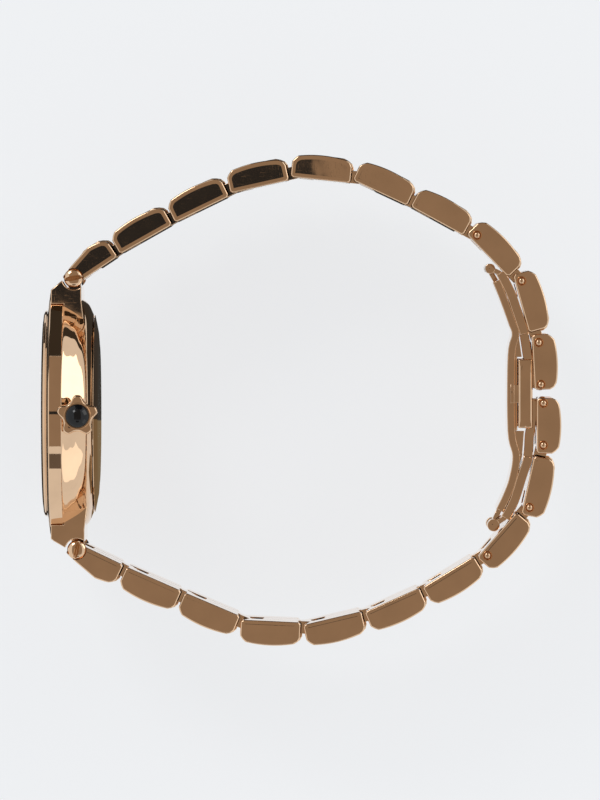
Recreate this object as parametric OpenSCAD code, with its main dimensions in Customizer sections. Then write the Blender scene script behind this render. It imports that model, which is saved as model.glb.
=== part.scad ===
// Analog bracelet wristwatch lying on its 9 o'clock side, crown up.
// The dial looks along -Y, 12 o'clock points along -X and the crown axis is +Z.
// The bracelet's hinge axes all run along Z, and the clasp is at the far +Y end.
// All sizes are in millimetres.

/* [Case] */
// Diameter of the middle case
case_d = 32.6; // [31:0.2:36]
// Depth of the front face of the crystal rim down to the bezel's lower edge
bezel_h = 1.0; // [0.8:0.1:1.4]
// Height of the straight wall below the bezel
band_h = 1.8; // [1.2:0.05:1.8]
// Whole thickness from crystal to case back
case_t = 7.6; // [7.4:0.1:8.2]
// Diameter of the crystal
crystal_d = 25; // [24:0.2:26]
// Thickness of the crystal
crystal_t = 1.1; // [0.9:0.1:1.2]
// Diameter of the case back
back_d = 25; // [24:0.2:26]
// Diameter of the flat centre of the case back
back_flat_d = 18; // [14:0.5:20]
// Width of the shoulders that carry the lug tongues
shoulder_w = 16; // [14:0.5:18]

/* [Dial and hands] */
// Diameter of the dial
dial_d = 22.4; // [21:0.2:22.6]
// Thickness of the dial
dial_t = 0.35; // [0.25:0.05:0.4]
// Length of the minute hand from the centre
minute_len = 9; // [8:0.2:10]
// Length of the hour hand from the centre
hour_len = 6; // [5:0.2:7]
// Width of both hands
hand_w = 0.6; // [0.4:0.05:0.8]

/* [Movement] */
// Diameter of the movement plate
plate_d = 21.4; // [20.5:0.1:21.6]
// Thickness of the movement plate
plate_t = 0.6; // [0.5:0.05:0.7]
// Diameter of the battery
battery_d = 6.8; // [5.8:0.2:7.2]
// Thickness of the battery
battery_t = 1.6; // [1.2:0.1:1.65]
// Diameter of the coil
coil_d = 1.7; // [1.2:0.1:1.8]
// Length of the coil
coil_len = 5.5; // [4:0.5:5.5]

/* [Crown] */
// Diameter over the crown's five lobes
crown_d = 5.4; // [5:0.1:5.8]
// Length of the crown
crown_len = 2.6; // [2.2:0.1:3]
// Diameter of the cabochon stone
stone_d = 3; // [2.4:0.1:3.2]
// Diameter of the winding stem
stem_d = 0.9; // [0.8:0.05:1]
// Distance that the crown pulls out
pull = 0.8; // [0.6:0.05:1]

/* [Bracelet] */
// Distance between neighbouring link hinges
link_pitch = 8.27; // [8.1:0.05:8.6]
// Distance from the lug hinge to the next hinge
first_pitch = 7.85; // [7.8:0.05:8.2]
// Distance from the last link's hinge to its clasp pin
last_pitch = 5.45; // [5.3:0.05:5.8]
// Thickness of a link at its middle
link_t = 3.2; // [3:0.05:3.4]
// Radius of a link's crowned outer face
link_crown_r = 15.5; // [13:0.5:30]
// Width of the bracelet at the case
bracelet_w = 16; // [15:0.25:17]
// Width lost from one link to the next
link_taper = 0.16; // [0.05:0.01:0.2]
// Width of the centre row
centre_w = 5; // [4.4:0.1:5.6]
// Diameter of a link pin
pin_d = 0.78; // [0.6:0.02:0.9]
// Diameter of a lug screw head
screw_head_d = 2.5; // [2:0.1:2.6]

/* [Clasp] */
// Thickness of the clasp blades
blade_t = 0.65; // [0.5:0.05:0.7]
// Width of the clasp blades
blade_w = 11; // [10.4:0.2:12]
// Width of the arms where they pass between the buttons
tip_w = 7; // [6:0.2:7]
// Diameter of the clasp hinge pins
clasp_pin_d = 0.6; // [0.5:0.05:0.7]
// Length of a push button
button_len = 8.9; // [8:0.1:9.2]
// Height of a push button
button_h = 1.85; // [1.6:0.05:1.9]
// Distance that a push button travels
button_travel = 0.6; // [0.4:0.05:0.6]

/* [Hidden] */
// Smoothness of round parts
$fn = 64;
// Small gap between fixed parts that fit together
fit = 0.05;
// Radial clearance of everything that turns on a pin
run = 0.04;
// Radial play of the clasp pivot at which the closed loop is opened
open_play = 0.2;
// Height of the case centre over the ground
case_z = case_d / 2;
// Shift that puts the origin under the middle of the whole watch
origin = [1.785, -33.63];

// Hinge that joins each bracelet half to the case, as [x, depth]
lug_12 = [-17.65, 4.1];
lug_6 = [17.55, 4.5];
// Direction of each link in degrees from +Y, turning toward +X
turns_12 = [-33.8, -29.4, -25.9, -12.6, 5.9, 25, 28.6, 45.7, 74.3, 87];
turns_6 = [25.6, 23.7, 23, 2.6, -13.3, -24.1, -31.3, -48.8, -77.5, -89.9];
link_count = len(turns_12);

function step_len(k) = k == 0 ? first_pitch : k == link_count - 1 ? last_pitch : link_pitch;
function aim(a) = [sin(a), cos(a)];
function hinge(start, turns, k) =
    k == 0 ? start : hinge(start, turns, k - 1) + step_len(k - 1) * aim(turns[k - 1]);

tip_12 = hinge(lug_12, turns_12, link_count);
tip_6 = hinge(lug_6, turns_6, link_count);
mid_tip = (tip_12 + tip_6) / 2;

// Link measures: the hinge lies near the inner face at the case end
pin_to_inner = 0.87;
pin_to_end = 1.08;
link_gap = 0.49;
link_outer = link_t - pin_to_inner;
row_gap = 0.12;
knuckle_r = 0.82;
// Radius that a link's case end sweeps about its hinge, with a little air
end_swing = norm([pin_to_end, pin_to_inner]) + 0.1;
function half_w(k) = (bracelet_w - link_taper * k) / 2;

// Places along the depth, front to back
bezel_y = 0.1;
band_y = bezel_h;
bowl_y = bezel_h + band_h;
hand_t = 0.14;
minute_y = crystal_t + 0.3;
hour_y = minute_y + hand_t + 0.14;
dial_y = hour_y + hand_t + 0.3;
hour_wheel_y = dial_y + dial_t + 0.12;
hour_wheel_t = 0.22;
plate_y = hour_wheel_y + hour_wheel_t + 0.12;
train_y = plate_y + plate_t + 0.1;
stem_y = 4.87;
bridge_y = case_t - 2.1;
bridge_t = 0.4;
back_y = case_t - 0.85;

// Radii of the case's inside
bore_r = 11.35;
crystal_r = crystal_d / 2;
gasket_w = 0.2;
back_r = back_d / 2;

// Motion work: the centre distance of 4 gives 1 to 3 and then 1 to 4
work_distance = 4;
cannon_r = work_distance / 4;
minute_wheel_r = work_distance * 3 / 4;
pinion_r = work_distance / 5;
hour_wheel_r = work_distance * 4 / 5;
mesh_gap = 0.05;
arbor_r = 0.15;
cannon_post_r = 0.5;
minute_wheel_at = [2.4, 3.2];
setting_at = [1.25, 7.1];
rotor_at = [-5.5, 4];
relay_at = [-3.5, 3.55];
third_at = [-1.2, 3.4];

// Crown
crown_y = case_z + case_d / 2 + 0.15;
tube_r = 0.9;
stone_seat = 0.5;
hollow_r = 1.6;
hollow_depth = 0.75;

// Clasp
block_depth = 1.1;
block_len = 9.6;
block_half = 5.4;
button_out = 6.6;
button_in = 4.7;
clasp_back = 3.95;
hinge_knuckle = 0.65;
play_knuckle = clasp_pin_d / 2 + open_play + 0.3;
neck_half = 2.4;

steel = [0.78, 0.56, 0.42];
dark = [0.2, 0.2, 0.22];
brass = [0.8, 0.66, 0.35];
pale = [0.9, 0.9, 0.88];
glass = [0.8, 0.88, 0.92, 0.5];

// A turned piece on the case axis from [radius, depth] points
module turned(points) {
    translate([0, 0, case_z])
        rotate([-90, 0, 0])
            rotate_extrude($fn = 128)
                polygon(points);
}

// A round bar along the depth, from one depth to another, at [x, height over the case centre]
module post(at, r, y0, y1) {
    translate([at[0], y0, case_z + at[1]])
        rotate([-90, 0, 0])
            cylinder(r = r, h = y1 - y0);
}

// A round bar along Z through a point of the bracelet's plane
module cross_bar(p, r, z0, z1) {
    translate([p[0], p[1], case_z + z0])
        cylinder(r = r, h = z1 - z0);
}

// Children drawn with the hinge at the origin, +X along the link and +Y outward
module on_link(p, a, side) {
    translate([p[0], p[1], case_z])
        rotate([0, 0, 90 - a])
            mirror([0, side < 0 ? 1 : 0, 0])
                children();
}

module mid_case() {
    r = case_d / 2;
    color(steel)
    difference() {
        union() {
            turned([
                [bore_r, band_y + 1.1], [crystal_r + 1.2, band_y + 1.1], [crystal_r + 1.2, band_y],
                [r - 0.15, band_y], [r, band_y + 0.15], [r, bowl_y - 0.1], [r - 0.2, bowl_y],
                [r - 0.7, bowl_y + 1.1], [r - 1.2, bowl_y + 2.1], [r - 2, bowl_y + 3.1],
                [back_r + 0.6, back_y - 0.3], [back_r + 0.25, back_y - 0.15],
                [bore_r, back_y - 0.15]
            ]);
            shoulder(lug_12, -1);
            shoulder(lug_6, 1);
        }
        turned([[0, band_y + 1.05], [bore_r, band_y + 1.05], [bore_r, back_y + 1], [0, back_y + 1]]);
        translate([0, stem_y, case_z])
            cylinder(r = tube_r + 0.01, h = case_d);
        cross_bar(lug_12, pin_d / 2 + run, -centre_w, centre_w);
        cross_bar(lug_6, pin_d / 2 + run, -centre_w, centre_w);
    }
}

// Shoulder that meets the bracelet, with the tongue that the first link turns on
module shoulder(lug, side) {
    x = abs(lug[0]);
    r = case_d / 2;
    color(steel)
    mirror([side < 0 ? 1 : 0, 0, 0]) {
        difference() {
            translate([0, 0, case_z - shoulder_w / 2])
                linear_extrude(shoulder_w)
                    polygon([
                        [r - 2, band_y + 0.15], [r - 0.2, band_y + 0.15], [r + 0.1, band_y + 0.5],
                        [x - 0.25, lug[1] - 1.5], [x - 0.9, lug[1] + 0.9], [r - 1.4, lug[1] + 1],
                        [bore_r + 0.1, lug[1] + 1.4], [bore_r + 0.1, bowl_y], [r - 2, bowl_y]
                    ]);
            cross_bar([x, lug[1]], end_swing, -bracelet_w, bracelet_w);
        }
        cross_bar([x, lug[1]], knuckle_r, -centre_w / 2, centre_w / 2);
        translate([bore_r, lug[1] - knuckle_r, case_z - centre_w / 2])
            cube([x - bore_r, 2 * knuckle_r, centre_w]);
    }
}

module bezel() {
    r = case_d / 2;
    color(steel)
    turned([
        [crystal_r + gasket_w, bezel_y], [crystal_r + 0.55, bezel_y], [crystal_r + 0.8, bezel_y + 0.2],
        [r - 1.2, bezel_h - 0.22], [r - 0.1, bezel_h - 0.02], [crystal_r + gasket_w, bezel_h - 0.02]
    ]);
}

module crystal() {
    color(glass)
    turned([[0, 0], [crystal_r - 0.2, 0], [crystal_r, 0.15], [crystal_r, crystal_t], [0, crystal_t]]);
}

module crystal_gasket() {
    color(dark)
    turned([
        [crystal_r, 0.3], [crystal_r + gasket_w, 0.3],
        [crystal_r + gasket_w, bezel_h - 0.02], [crystal_r, bezel_h - 0.02]
    ]);
}

module dial_ring() {
    color(pale)
    turned([
        [crystal_r - 0.9, crystal_t], [crystal_r, crystal_t], [crystal_r + 1.15, band_y + 0.12],
        [crystal_r + 1.15, band_y + 1.05], [bore_r + 0.05, band_y + 1.05], [dial_d / 2 - 0.35, dial_y - 0.05],
        [dial_d / 2 - 0.45, dial_y - 0.3]
    ]);
}

module dial() {
    color(pale)
    difference() {
        post([0, 0], dial_d / 2, dial_y, dial_y + dial_t);
        post([0, 0], 1, dial_y - 1, dial_y + 2);
    }
}

// Applied hour markers: a double one at 12
module dial_markers() {
    color(steel)
    for (h = [1:12]) {
        a = 30 * h;
        for (s = h == 12 ? [-0.45, 0.45] : [0])
            translate([0, dial_y, case_z])
                rotate([0, a, 0])
                    translate([-dial_d / 2 + 1, -0.15, s - 0.2])
                        cube([1.8, 0.15, 0.4]);
    }
}

module hour_hand() {
    color(dark)
    difference() {
        union() {
            post([0, 0], 0.95, hour_y, hour_wheel_y);
            post([0, 0], hour_wheel_r, hour_wheel_y, hour_wheel_y + hour_wheel_t);
            hand_blade(-60, hour_len, hour_y);
        }
        post([0, 0], cannon_post_r + run, hour_y - 1, hour_wheel_y + 1);
    }
}

module minute_hand() {
    color(dark)
    union() {
        post([0, 0], cannon_post_r, minute_y, train_y + 0.3);
        post([0, 0], 0.9, minute_y, minute_y + hand_t);
        post([0, 0], cannon_r - mesh_gap, train_y, train_y + 0.25);
        post([0, 0], arbor_r, train_y, bridge_y + bridge_t - 0.05);
        hand_blade(60, minute_len, minute_y);
    }
}

// A straight tapering hand at an angle from 12 o'clock, clockwise seen from the front
module hand_blade(a, len, y) {
    translate([0, y, case_z])
        rotate([0, a, 0])
            rotate([-90, 0, 0])
                linear_extrude(hand_t)
                    polygon([[1.6, -hand_w / 3], [1.6, hand_w / 3], [-len * 0.7, hand_w / 2],
                        [-len, 0], [-len * 0.7, -hand_w / 2]]);
}

module minute_wheel() {
    color(brass)
    union() {
        post(minute_wheel_at, minute_wheel_r - mesh_gap, train_y, train_y + 0.25);
        post(minute_wheel_at, pinion_r - mesh_gap, hour_wheel_y, train_y);
        post(minute_wheel_at, arbor_r, train_y, train_y + 0.6);
    }
}

module setting_wheel() {
    color(brass)
    union() {
        post(setting_at, cannon_r - mesh_gap, train_y, train_y + 0.25);
        post(setting_at, arbor_r, plate_y + 0.1, train_y + 0.3);
    }
}

module rotor() {
    color(dark)
    union() {
        post(rotor_at, 0.55, train_y + 0.05, train_y + 1);
        post(rotor_at, 0.2, train_y + 1, bridge_y - 0.1);
        post(rotor_at, arbor_r, plate_y + 0.1, bridge_y + bridge_t - 0.05);
    }
}

module relay_wheel() {
    color(brass)
    union() {
        post(relay_at, 1.8, train_y + 1.15, train_y + 1.35);
        post(relay_at, 0.35, train_y + 0.2, train_y + 1.15);
        post(relay_at, arbor_r, plate_y + 0.1, bridge_y + bridge_t - 0.05);
    }
}

module third_wheel() {
    color(brass)
    union() {
        post(third_at, 1.9, train_y + 0.5, train_y + 0.7);
        post(third_at, arbor_r, plate_y + 0.1, bridge_y + bridge_t - 0.05);
    }
}

module movement_plate() {
    color(brass)
    difference() {
        post([0, 0], plate_d / 2, plate_y, plate_y + plate_t);
        post([0, 0], cannon_post_r + run, plate_y - 1, plate_y + 2);
        post(minute_wheel_at, pinion_r, plate_y - 1, plate_y + 2);
        for (p = [setting_at, rotor_at, relay_at, third_at])
            post(p, arbor_r + run, plate_y - 1, plate_y + 2);
    }
}

module movement_ring() {
    color(pale)
    difference() {
        turned([
            [plate_d / 2 + fit, plate_y], [bore_r - fit, plate_y],
            [bore_r - fit, back_y - 0.35], [plate_d / 2 + fit, back_y - 0.35]
        ]);
        translate([0, stem_y, case_z])
            cylinder(r = tube_r, h = case_d);
    }
}

module train_bridge() {
    color(brass)
    difference() {
        intersection() {
            post([0, 0], plate_d / 2 - 0.3, bridge_y, bridge_y + bridge_t);
            translate([-9.5, 0, case_z - 1])
                cube([12.5, case_t, 7.2]);
        }
        for (p = [[0, 0], rotor_at, relay_at, third_at])
            post(p, arbor_r + run, bridge_y - 1, bridge_y + 2);
    }
    color(brass)
    for (p = [[-8.6, 1], [2.6, -0.5], [-8, 5.4]])
        post(p, 0.4, plate_y + plate_t, bridge_y);
}

module circuit_board() {
    color([0.1, 0.35, 0.2])
    intersection() {
        post([0, 0], plate_d / 2 - 0.4, bridge_y, bridge_y + 0.3);
        translate([-9, 0, case_z - 10])
            cube([6.2, case_t, 8.4]);
    }
    color([0.1, 0.35, 0.2])
    post([-3.6, -8.8], 0.4, plate_y + plate_t, bridge_y);
}

module coil() {
    color([0.75, 0.4, 0.25])
    translate([-6.6, plate_y + plate_t + coil_d / 2 + 0.05, case_z - 1.4 - coil_len])
        cylinder(d = coil_d, h = coil_len);
}

module stator() {
    color(dark)
    difference() {
        translate([-9.1, plate_y + plate_t, case_z - 1.3])
            cube([5, 0.8, 1.1]);
        post([-4.6, -0.75], 0.2, plate_y, bridge_y);
    }
}

module battery() {
    color([0.75, 0.76, 0.78])
    post([3.2, -5.4], battery_d / 2, plate_y + plate_t + fit, plate_y + plate_t + fit + battery_t);
}

module battery_clamp() {
    color(brass)
    translate([0.2, plate_y + plate_t + fit + battery_t + fit, case_z - 6.1])
        cube([8.4, 0.2, 1.4]);
    color(brass)
    post([8, -5.4], 0.35, plate_y + plate_t, plate_y + plate_t + battery_t + 2 * fit);
}

module case_back() {
    flat_r = back_flat_d / 2;
    color(steel)
    turned([
        [0, back_y + 0.05], [back_r, back_y + 0.05], [back_r, back_y + 0.15],
        [back_r - 0.9, case_t - 0.35], [back_r - 2, case_t - 0.1], [flat_r, case_t], [0, case_t]
    ]);
}

module back_gasket() {
    color(dark)
    turned([
        [bore_r + 0.1, back_y - 0.15], [bore_r + 0.5, back_y - 0.15],
        [bore_r + 0.5, back_y + 0.05], [bore_r + 0.1, back_y + 0.05]
    ]);
}

module crown_tube() {
    color(steel)
    translate([0, stem_y, case_z + bore_r + 0.6])
        difference() {
            cylinder(r = tube_r, h = case_d / 2 - bore_r - 0.7);
            translate([0, 0, -1])
                cylinder(r = stem_d / 2 + run, h = case_d);
        }
}

module crown() {
    color(steel)
    translate([0, stem_y, crown_y])
        difference() {
            cylinder(d = crown_d, h = crown_len);
            // Five hollows leave five blunt points, one of them straight away from 12 o'clock
            for (k = [0:4])
                rotate([0, 0, 216 + 72 * k])
                    translate([crown_d / 2 - hollow_depth + hollow_r, 0, -1])
                        cylinder(r = hollow_r, h = crown_len + 2);
            translate([0, 0, -0.1])
                cylinder(r = stem_d / 2, h = crown_len - stone_seat - 0.3);
            translate([0, 0, crown_len - stone_seat])
                cylinder(d = stone_d + 2 * fit, h = 1);
        }
}

module crown_stone() {
    dome = 0.75;
    r = stone_d / 2;
    ball = (r * r + dome * dome) / (2 * dome);
    color([0.03, 0.03, 0.03])
    translate([0, stem_y, crown_y + crown_len - stone_seat])
        union() {
            cylinder(r = r, h = 0.45);
            translate([0, 0, 0.45])
                intersection() {
                    cylinder(r = r, h = dome);
                    translate([0, 0, dome - ball])
                        sphere(r = ball);
                }
        }
}

module stem() {
    color(pale)
    translate([0, stem_y, case_z + 6])
        difference() {
            cylinder(d = stem_d, h = crown_y + crown_len - stone_seat - 0.4 - case_z - 6);
            translate([0, 0, 2])
                difference() {
                    cylinder(d = stem_d + 1, h = 0.6);
                    cylinder(d = stem_d - 0.3, h = 0.6);
                }
        }
}

module setting_lever() {
    color(brass)
    difference() {
        translate([-2.6, stem_y - 0.2, case_z + 8.1])
            cube([3, 0.4, 0.4]);
        translate([0, stem_y, case_z + 7])
            cylinder(d = stem_d - 0.3 + 2 * run, h = 3);
    }
}

// One bracelet link: two outer bricks, the centre piece with its tongue, and its pin
module link(k, p, a, side) {
    len = step_len(k) + (k == link_count - 1 ? 2.25 : 0) - link_gap;
    w = half_w(k);
    c = centre_w / 2;
    shows_pin = k > 6;
    far = step_len(k);
    bore = k == 0 ? pin_d / 2 + 0.01 : pin_d / 2;
    color(steel)
    on_link(p, a, side) {
        for (s = [-1, 1])
            difference() {
                translate([0, 0, s > 0 ? c + row_gap : -w])
                    brick(-pin_to_end, len, w - c - row_gap, k == 0 ? 4.2 : 0.75, k == 0 ? 1.4 : 1.15);
                translate([0, 0, s > 0 ? 0 : -w - 1])
                    cylinder(r = bore, h = w + 1);
                if (k == 0)
                    translate([0, 0, s > 0 ? w - 0.6 : -w - 1])
                        cylinder(d = screw_head_d + 2 * fit, h = 1.6);
                if (shows_pin)
                    translate([0, 0, s > 0 ? w - 0.3 : -w - 1])
                        cylinder(r = pin_d / 2 + 0.19, h = 1.3);
                if (k == link_count - 1)
                    translate([far, 0, s > 0 ? 0 : -w - 1])
                        cylinder(r = pin_d / 2, h = w + 1);
            }
        difference() {
            union() {
                start = knuckle_r + 0.75;
                stop = k == link_count - 1 ? far - knuckle_r - 0.5 : far - 1.3;
                translate([0, 0, -c])
                    brick(start, stop - start, centre_w, 0.75, 1.15);
                if (k < link_count - 1) {
                    translate([far, 0, -c])
                        cylinder(r = knuckle_r, h = centre_w);
                    translate([stop - 0.6, -knuckle_r, -c])
                        cube([far - stop + 0.6, 2 * knuckle_r, centre_w]);
                }
            }
            if (k < link_count - 1)
                translate([far, 0, -c - 1])
                    cylinder(r = pin_d / 2 + run, h = centre_w + 2);
        }
        // The bars that join the centre piece to both outer bricks
        for (s = [-1, 1])
            translate([3, 0, s > 0 ? c : -c - row_gap])
                cylinder(r = 0.6, h = row_gap);
        if (k > 0)
            translate([0, 0, shows_pin ? -w + 0.15 : 1 - w])
                cylinder(d = pin_d, h = 2 * (shows_pin ? w - 0.15 : w - 1));
        if (k == link_count - 1)
            translate([far, 0, -w + 0.1])
                cylinder(d = pin_d, h = 2 * w - 0.2);
    }
}

// A brick with a crowned outer face. Its outer corners are cut back: at the case end by a
// length along it, lead, and a depth, drop
module brick(x0, len, w, lead, drop) {
    mid = x0 + len / 2;
    nip = 0.3;
    nose = min(lead, len - 1.9);
    low = link_outer - 1.15;
    first = link_outer - drop;
    intersection() {
        linear_extrude(w)
            polygon([
                [x0, nip - pin_to_inner], [x0 + nip, -pin_to_inner],
                [x0 + len - nip, -pin_to_inner], [x0 + len, nip - pin_to_inner],
                [x0 + len, low], [x0 + len - 0.25, low + 0.5], [x0 + len - 0.75, link_outer - 0.3],
                [x0 + len - 1.3, link_outer], [x0 + nose + 0.55, link_outer], [x0 + nose, link_outer - 0.3],
                [x0 + nose * 0.4, (first + link_outer - 0.3) / 2], [x0, first]
            ]);
        translate([mid, link_outer - link_crown_r, 0])
            cylinder(r = link_crown_r, h = w, $fn = 256);
    }
}

// Slotted screw that holds the first link to the case's tongue
module lug_screw(p, a, side, slot) {
    w = half_w(0);
    color(steel)
    on_link(p, a, side) {
        cylinder(d = pin_d, h = 2 * w - 1.2, center = true);
        for (s = [-1, 1])
            translate([0, 0, s > 0 ? w - 0.6 : -w])
                difference() {
                    cylinder(d = screw_head_d, h = 0.6);
                    rotate([0, 0, slot])
                        translate([-screw_head_d, -0.16, s > 0 ? 0.35 : -0.1])
                            cube([2 * screw_head_d, 0.32, 0.35]);
                }
    }
}

// A bent blade of even thickness along a list of points
function side_of(points, i) =
    let (a = points[max(i - 1, 0)], b = points[min(i + 1, len(points) - 1)], d = (b - a) / norm(b - a))
    [-d[1], d[0]];
module blade(points, t, z0, z1) {
    n = len(points);
    translate([0, 0, case_z + z0])
        linear_extrude(z1 - z0)
            polygon(concat(
                [for (i = [0:n - 1]) points[i] + side_of(points, i) * t / 2],
                [for (i = [n - 1:-1:0]) points[i] - side_of(points, i) * t / 2]
            ));
}

// Both ends of the clasp's base: the arms lead back along the bracelet from the tip pins
hinge_a = tip_12 + [-15.0, -6.55];
hinge_b = tip_6 + [15.87, -6.42];
base_path = [
    hinge_a + [0.75, 0.3], hinge_a + [1.6, 0.8], hinge_a + [3.55, 1.6], hinge_a + [7, 2.85],
    hinge_a + [8.6, 3.3], [mid_tip[0] - block_len / 2, mid_tip[1] - clasp_back],
    [mid_tip[0] + block_len / 2, mid_tip[1] - clasp_back], hinge_b + [-9, 2.95],
    hinge_b + [-6, 2.5], hinge_b + [-3.9, 1.75], hinge_b + [-1.9, 0.8], hinge_b + [-0.8, 0.3]
];
arm_12_path = [
    hinge_a + [0.5, 1.15], hinge_a + [3.1, 2.45], hinge_a + [5.1, 3.15], hinge_a + [7, 3.8],
    hinge_a + [8.5, 4.25], hinge_a + [11.4, 4.7], tip_12 + [-2.2, -1.6], tip_12 + [0.3, -1.5]
];
arm_6_path = [
    hinge_b + [-0.9, 1.35], hinge_b + [-3.2, 2.5], hinge_b + [-6.2, 3.45],
    hinge_b + [-8.9, 4.3], hinge_b + [-11.6, 4.5], tip_6 + [2.2, -1.6], tip_6 + [-0.3, -1.6]
];

module clasp_base() {
    b = blade_w / 2;
    color(steel)
    difference() {
        union() {
            blade([for (i = [1:len(base_path) - 2]) base_path[i]], blade_t, -b, b);
            for (h = [hinge_a, hinge_b])
                cross_bar(h, hinge_knuckle, -neck_half, neck_half);
            blade([hinge_a, base_path[0], base_path[1]], blade_t, -neck_half, neck_half);
            blade([base_path[10], base_path[11], hinge_b], blade_t, -neck_half, neck_half);
            translate([mid_tip[0] - block_len / 2, mid_tip[1] - clasp_back - blade_t / 2, case_z - block_half])
                cube([block_len, block_depth, 2 * block_half]);
        }
        for (h = [hinge_a, hinge_b])
            cross_bar(h, clasp_pin_d / 2, -neck_half - 1, neck_half + 1);
        for (s = [-1, 1])
            translate([mid_tip[0] - 1.3, mid_tip[1] - clasp_back - 0.2, case_z + (s > 0 ? 2.2 : -block_half - 1)])
                cube([2.6, 0.6, block_half - 1.2]);
    }
}

module clasp_pins() {
    color(pale)
    for (h = [hinge_a, hinge_b])
        cross_bar(h, clasp_pin_d / 2, -blade_w / 2, blade_w / 2);
}

// An arm: full width along the blade, narrow between the buttons, a knuckle on the tip pin
module arm(path, tip, hub, knuckle, bore) {
    b = blade_w / 2;
    t = tip_w / 2;
    n = len(path);
    c = centre_w / 2;
    color(steel)
    difference() {
        union() {
            blade([for (i = [0:n - 4]) path[i]], blade_t, -b, b);
            blade([for (i = [n - 5:n - 1]) path[i]], blade_t, -t, t);
            blade([path[n - 2], path[n - 1]], blade_t, -c, c);
            blade([[tip[0], tip[1] - 1.5], tip], 1.1, -c, c);
            cross_bar(tip, knuckle_r, -c, c);
            for (s = [-1, 1]) {
                z0 = s > 0 ? neck_half + 0.15 : -b;
                cross_bar(hub, knuckle, z0, z0 + b - neck_half - 0.15);
                blade([hub, path[0], path[1]], blade_t, z0, z0 + b - neck_half - 0.15);
            }
        }
        cross_bar(tip, pin_d / 2 + run, -c - 1, c + 1);
        cross_bar(hub, bore, -b - 1, b + 1);
        cross_bar(hub, hinge_knuckle + 0.15, -neck_half - 0.15, neck_half + 0.15);
    }
}

module clasp_arm_12() {
    arm(arm_12_path, tip_12, hinge_a, hinge_knuckle, clasp_pin_d / 2 + run);
}

module clasp_arm_06() {
    arm(arm_6_path, tip_6, hinge_b, play_knuckle, clasp_pin_d / 2 + open_play);
}

// A push button: the bar at the clasp's side and the tongue that slides in the block
module push_button(s) {
    y0 = mid_tip[1] - clasp_back - 0.15;
    bar_y = mid_tip[1] - clasp_back + block_depth - blade_t / 2 + 0.1;
    color(steel)
    translate([mid_tip[0], 0, case_z])
        mirror([0, 0, s > 0 ? 0 : 1]) {
            translate([-button_len / 2, bar_y, button_in])
                cube([button_len, button_h, button_out - button_in]);
            translate([-1.2, y0, 3])
                cube([2.4, 0.5, button_out - 3]);
            translate([-1.2, y0, button_out - 0.55])
                cube([2.4, bar_y - y0 + 0.1, 0.55]);
        }
}

module links_12(k) {
    link(k, hinge(lug_12, turns_12, k), turns_12[k], 1);
}

module links_06(k) {
    link(k, hinge(lug_6, turns_6, k), turns_6[k], -1);
}

translate([origin[0], origin[1], 0]) {
    mid_case();
    bezel();
    crystal();
    crystal_gasket();
    dial_ring();
    dial();
    dial_markers();
    hour_hand();
    minute_hand();
    minute_wheel();
    setting_wheel();
    rotor();
    relay_wheel();
    third_wheel();
    movement_plate();
    movement_ring();
    train_bridge();
    circuit_board();
    coil();
    stator();
    battery();
    battery_clamp();
    case_back();
    back_gasket();
    crown_tube();
    crown();
    crown_stone();
    stem();
    setting_lever();
    lug_screw(lug_12, turns_12[0], 1, 45);  // lug_screws_12
    lug_screw(lug_6, turns_6[0], -1, 40);  // lug_screws_06
    links_12(0);  // link_12_01
    links_12(1);  // link_12_02
    links_12(2);  // link_12_03
    links_12(3);  // link_12_04
    links_12(4);  // link_12_05
    links_12(5);  // link_12_06
    links_12(6);  // link_12_07
    links_12(7);  // link_12_08
    links_12(8);  // link_12_09
    links_12(9);  // link_12_10
    links_06(0);  // link_06_01
    links_06(1);  // link_06_02
    links_06(2);  // link_06_03
    links_06(3);  // link_06_04
    links_06(4);  // link_06_05
    links_06(5);  // link_06_06
    links_06(6);  // link_06_07
    links_06(7);  // link_06_08
    links_06(8);  // link_06_09
    links_06(9);  // link_06_10
    clasp_base();
    clasp_pins();
    clasp_arm_12();
    clasp_arm_06();
    push_button(1);  // push_button_near
    push_button(-1);  // push_button_far
}
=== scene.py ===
import math

import bmesh
import bpy
from bpy.props import FloatProperty, FloatVectorProperty, IntProperty, PointerProperty
from mathutils import Matrix, Vector


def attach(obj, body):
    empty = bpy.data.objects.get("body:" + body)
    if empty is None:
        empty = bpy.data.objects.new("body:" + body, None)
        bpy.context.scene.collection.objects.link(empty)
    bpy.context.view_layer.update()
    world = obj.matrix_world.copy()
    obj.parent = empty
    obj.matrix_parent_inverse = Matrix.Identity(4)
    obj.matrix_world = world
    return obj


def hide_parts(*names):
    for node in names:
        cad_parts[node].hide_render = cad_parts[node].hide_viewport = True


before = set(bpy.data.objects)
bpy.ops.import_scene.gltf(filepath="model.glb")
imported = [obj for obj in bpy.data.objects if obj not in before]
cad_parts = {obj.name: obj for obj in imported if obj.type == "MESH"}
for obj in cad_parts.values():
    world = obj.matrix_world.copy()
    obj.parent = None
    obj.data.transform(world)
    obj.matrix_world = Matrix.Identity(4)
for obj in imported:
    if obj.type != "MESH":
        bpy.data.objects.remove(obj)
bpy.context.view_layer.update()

bl_info = {
    "name": "Bracelet wristwatch",
    "version": (1, 0, 0),
    "blender": (4, 5, 0),
    "location": "View3D > Sidebar > Watch",
    "description": "Dresses the CAD frame of a rose gold bracelet watch and sets its photo studio",
    "category": "Object",
}

# Places are in millimetres in the CAD frame and shrink to metres when a mesh is made
MM = 0.001

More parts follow.
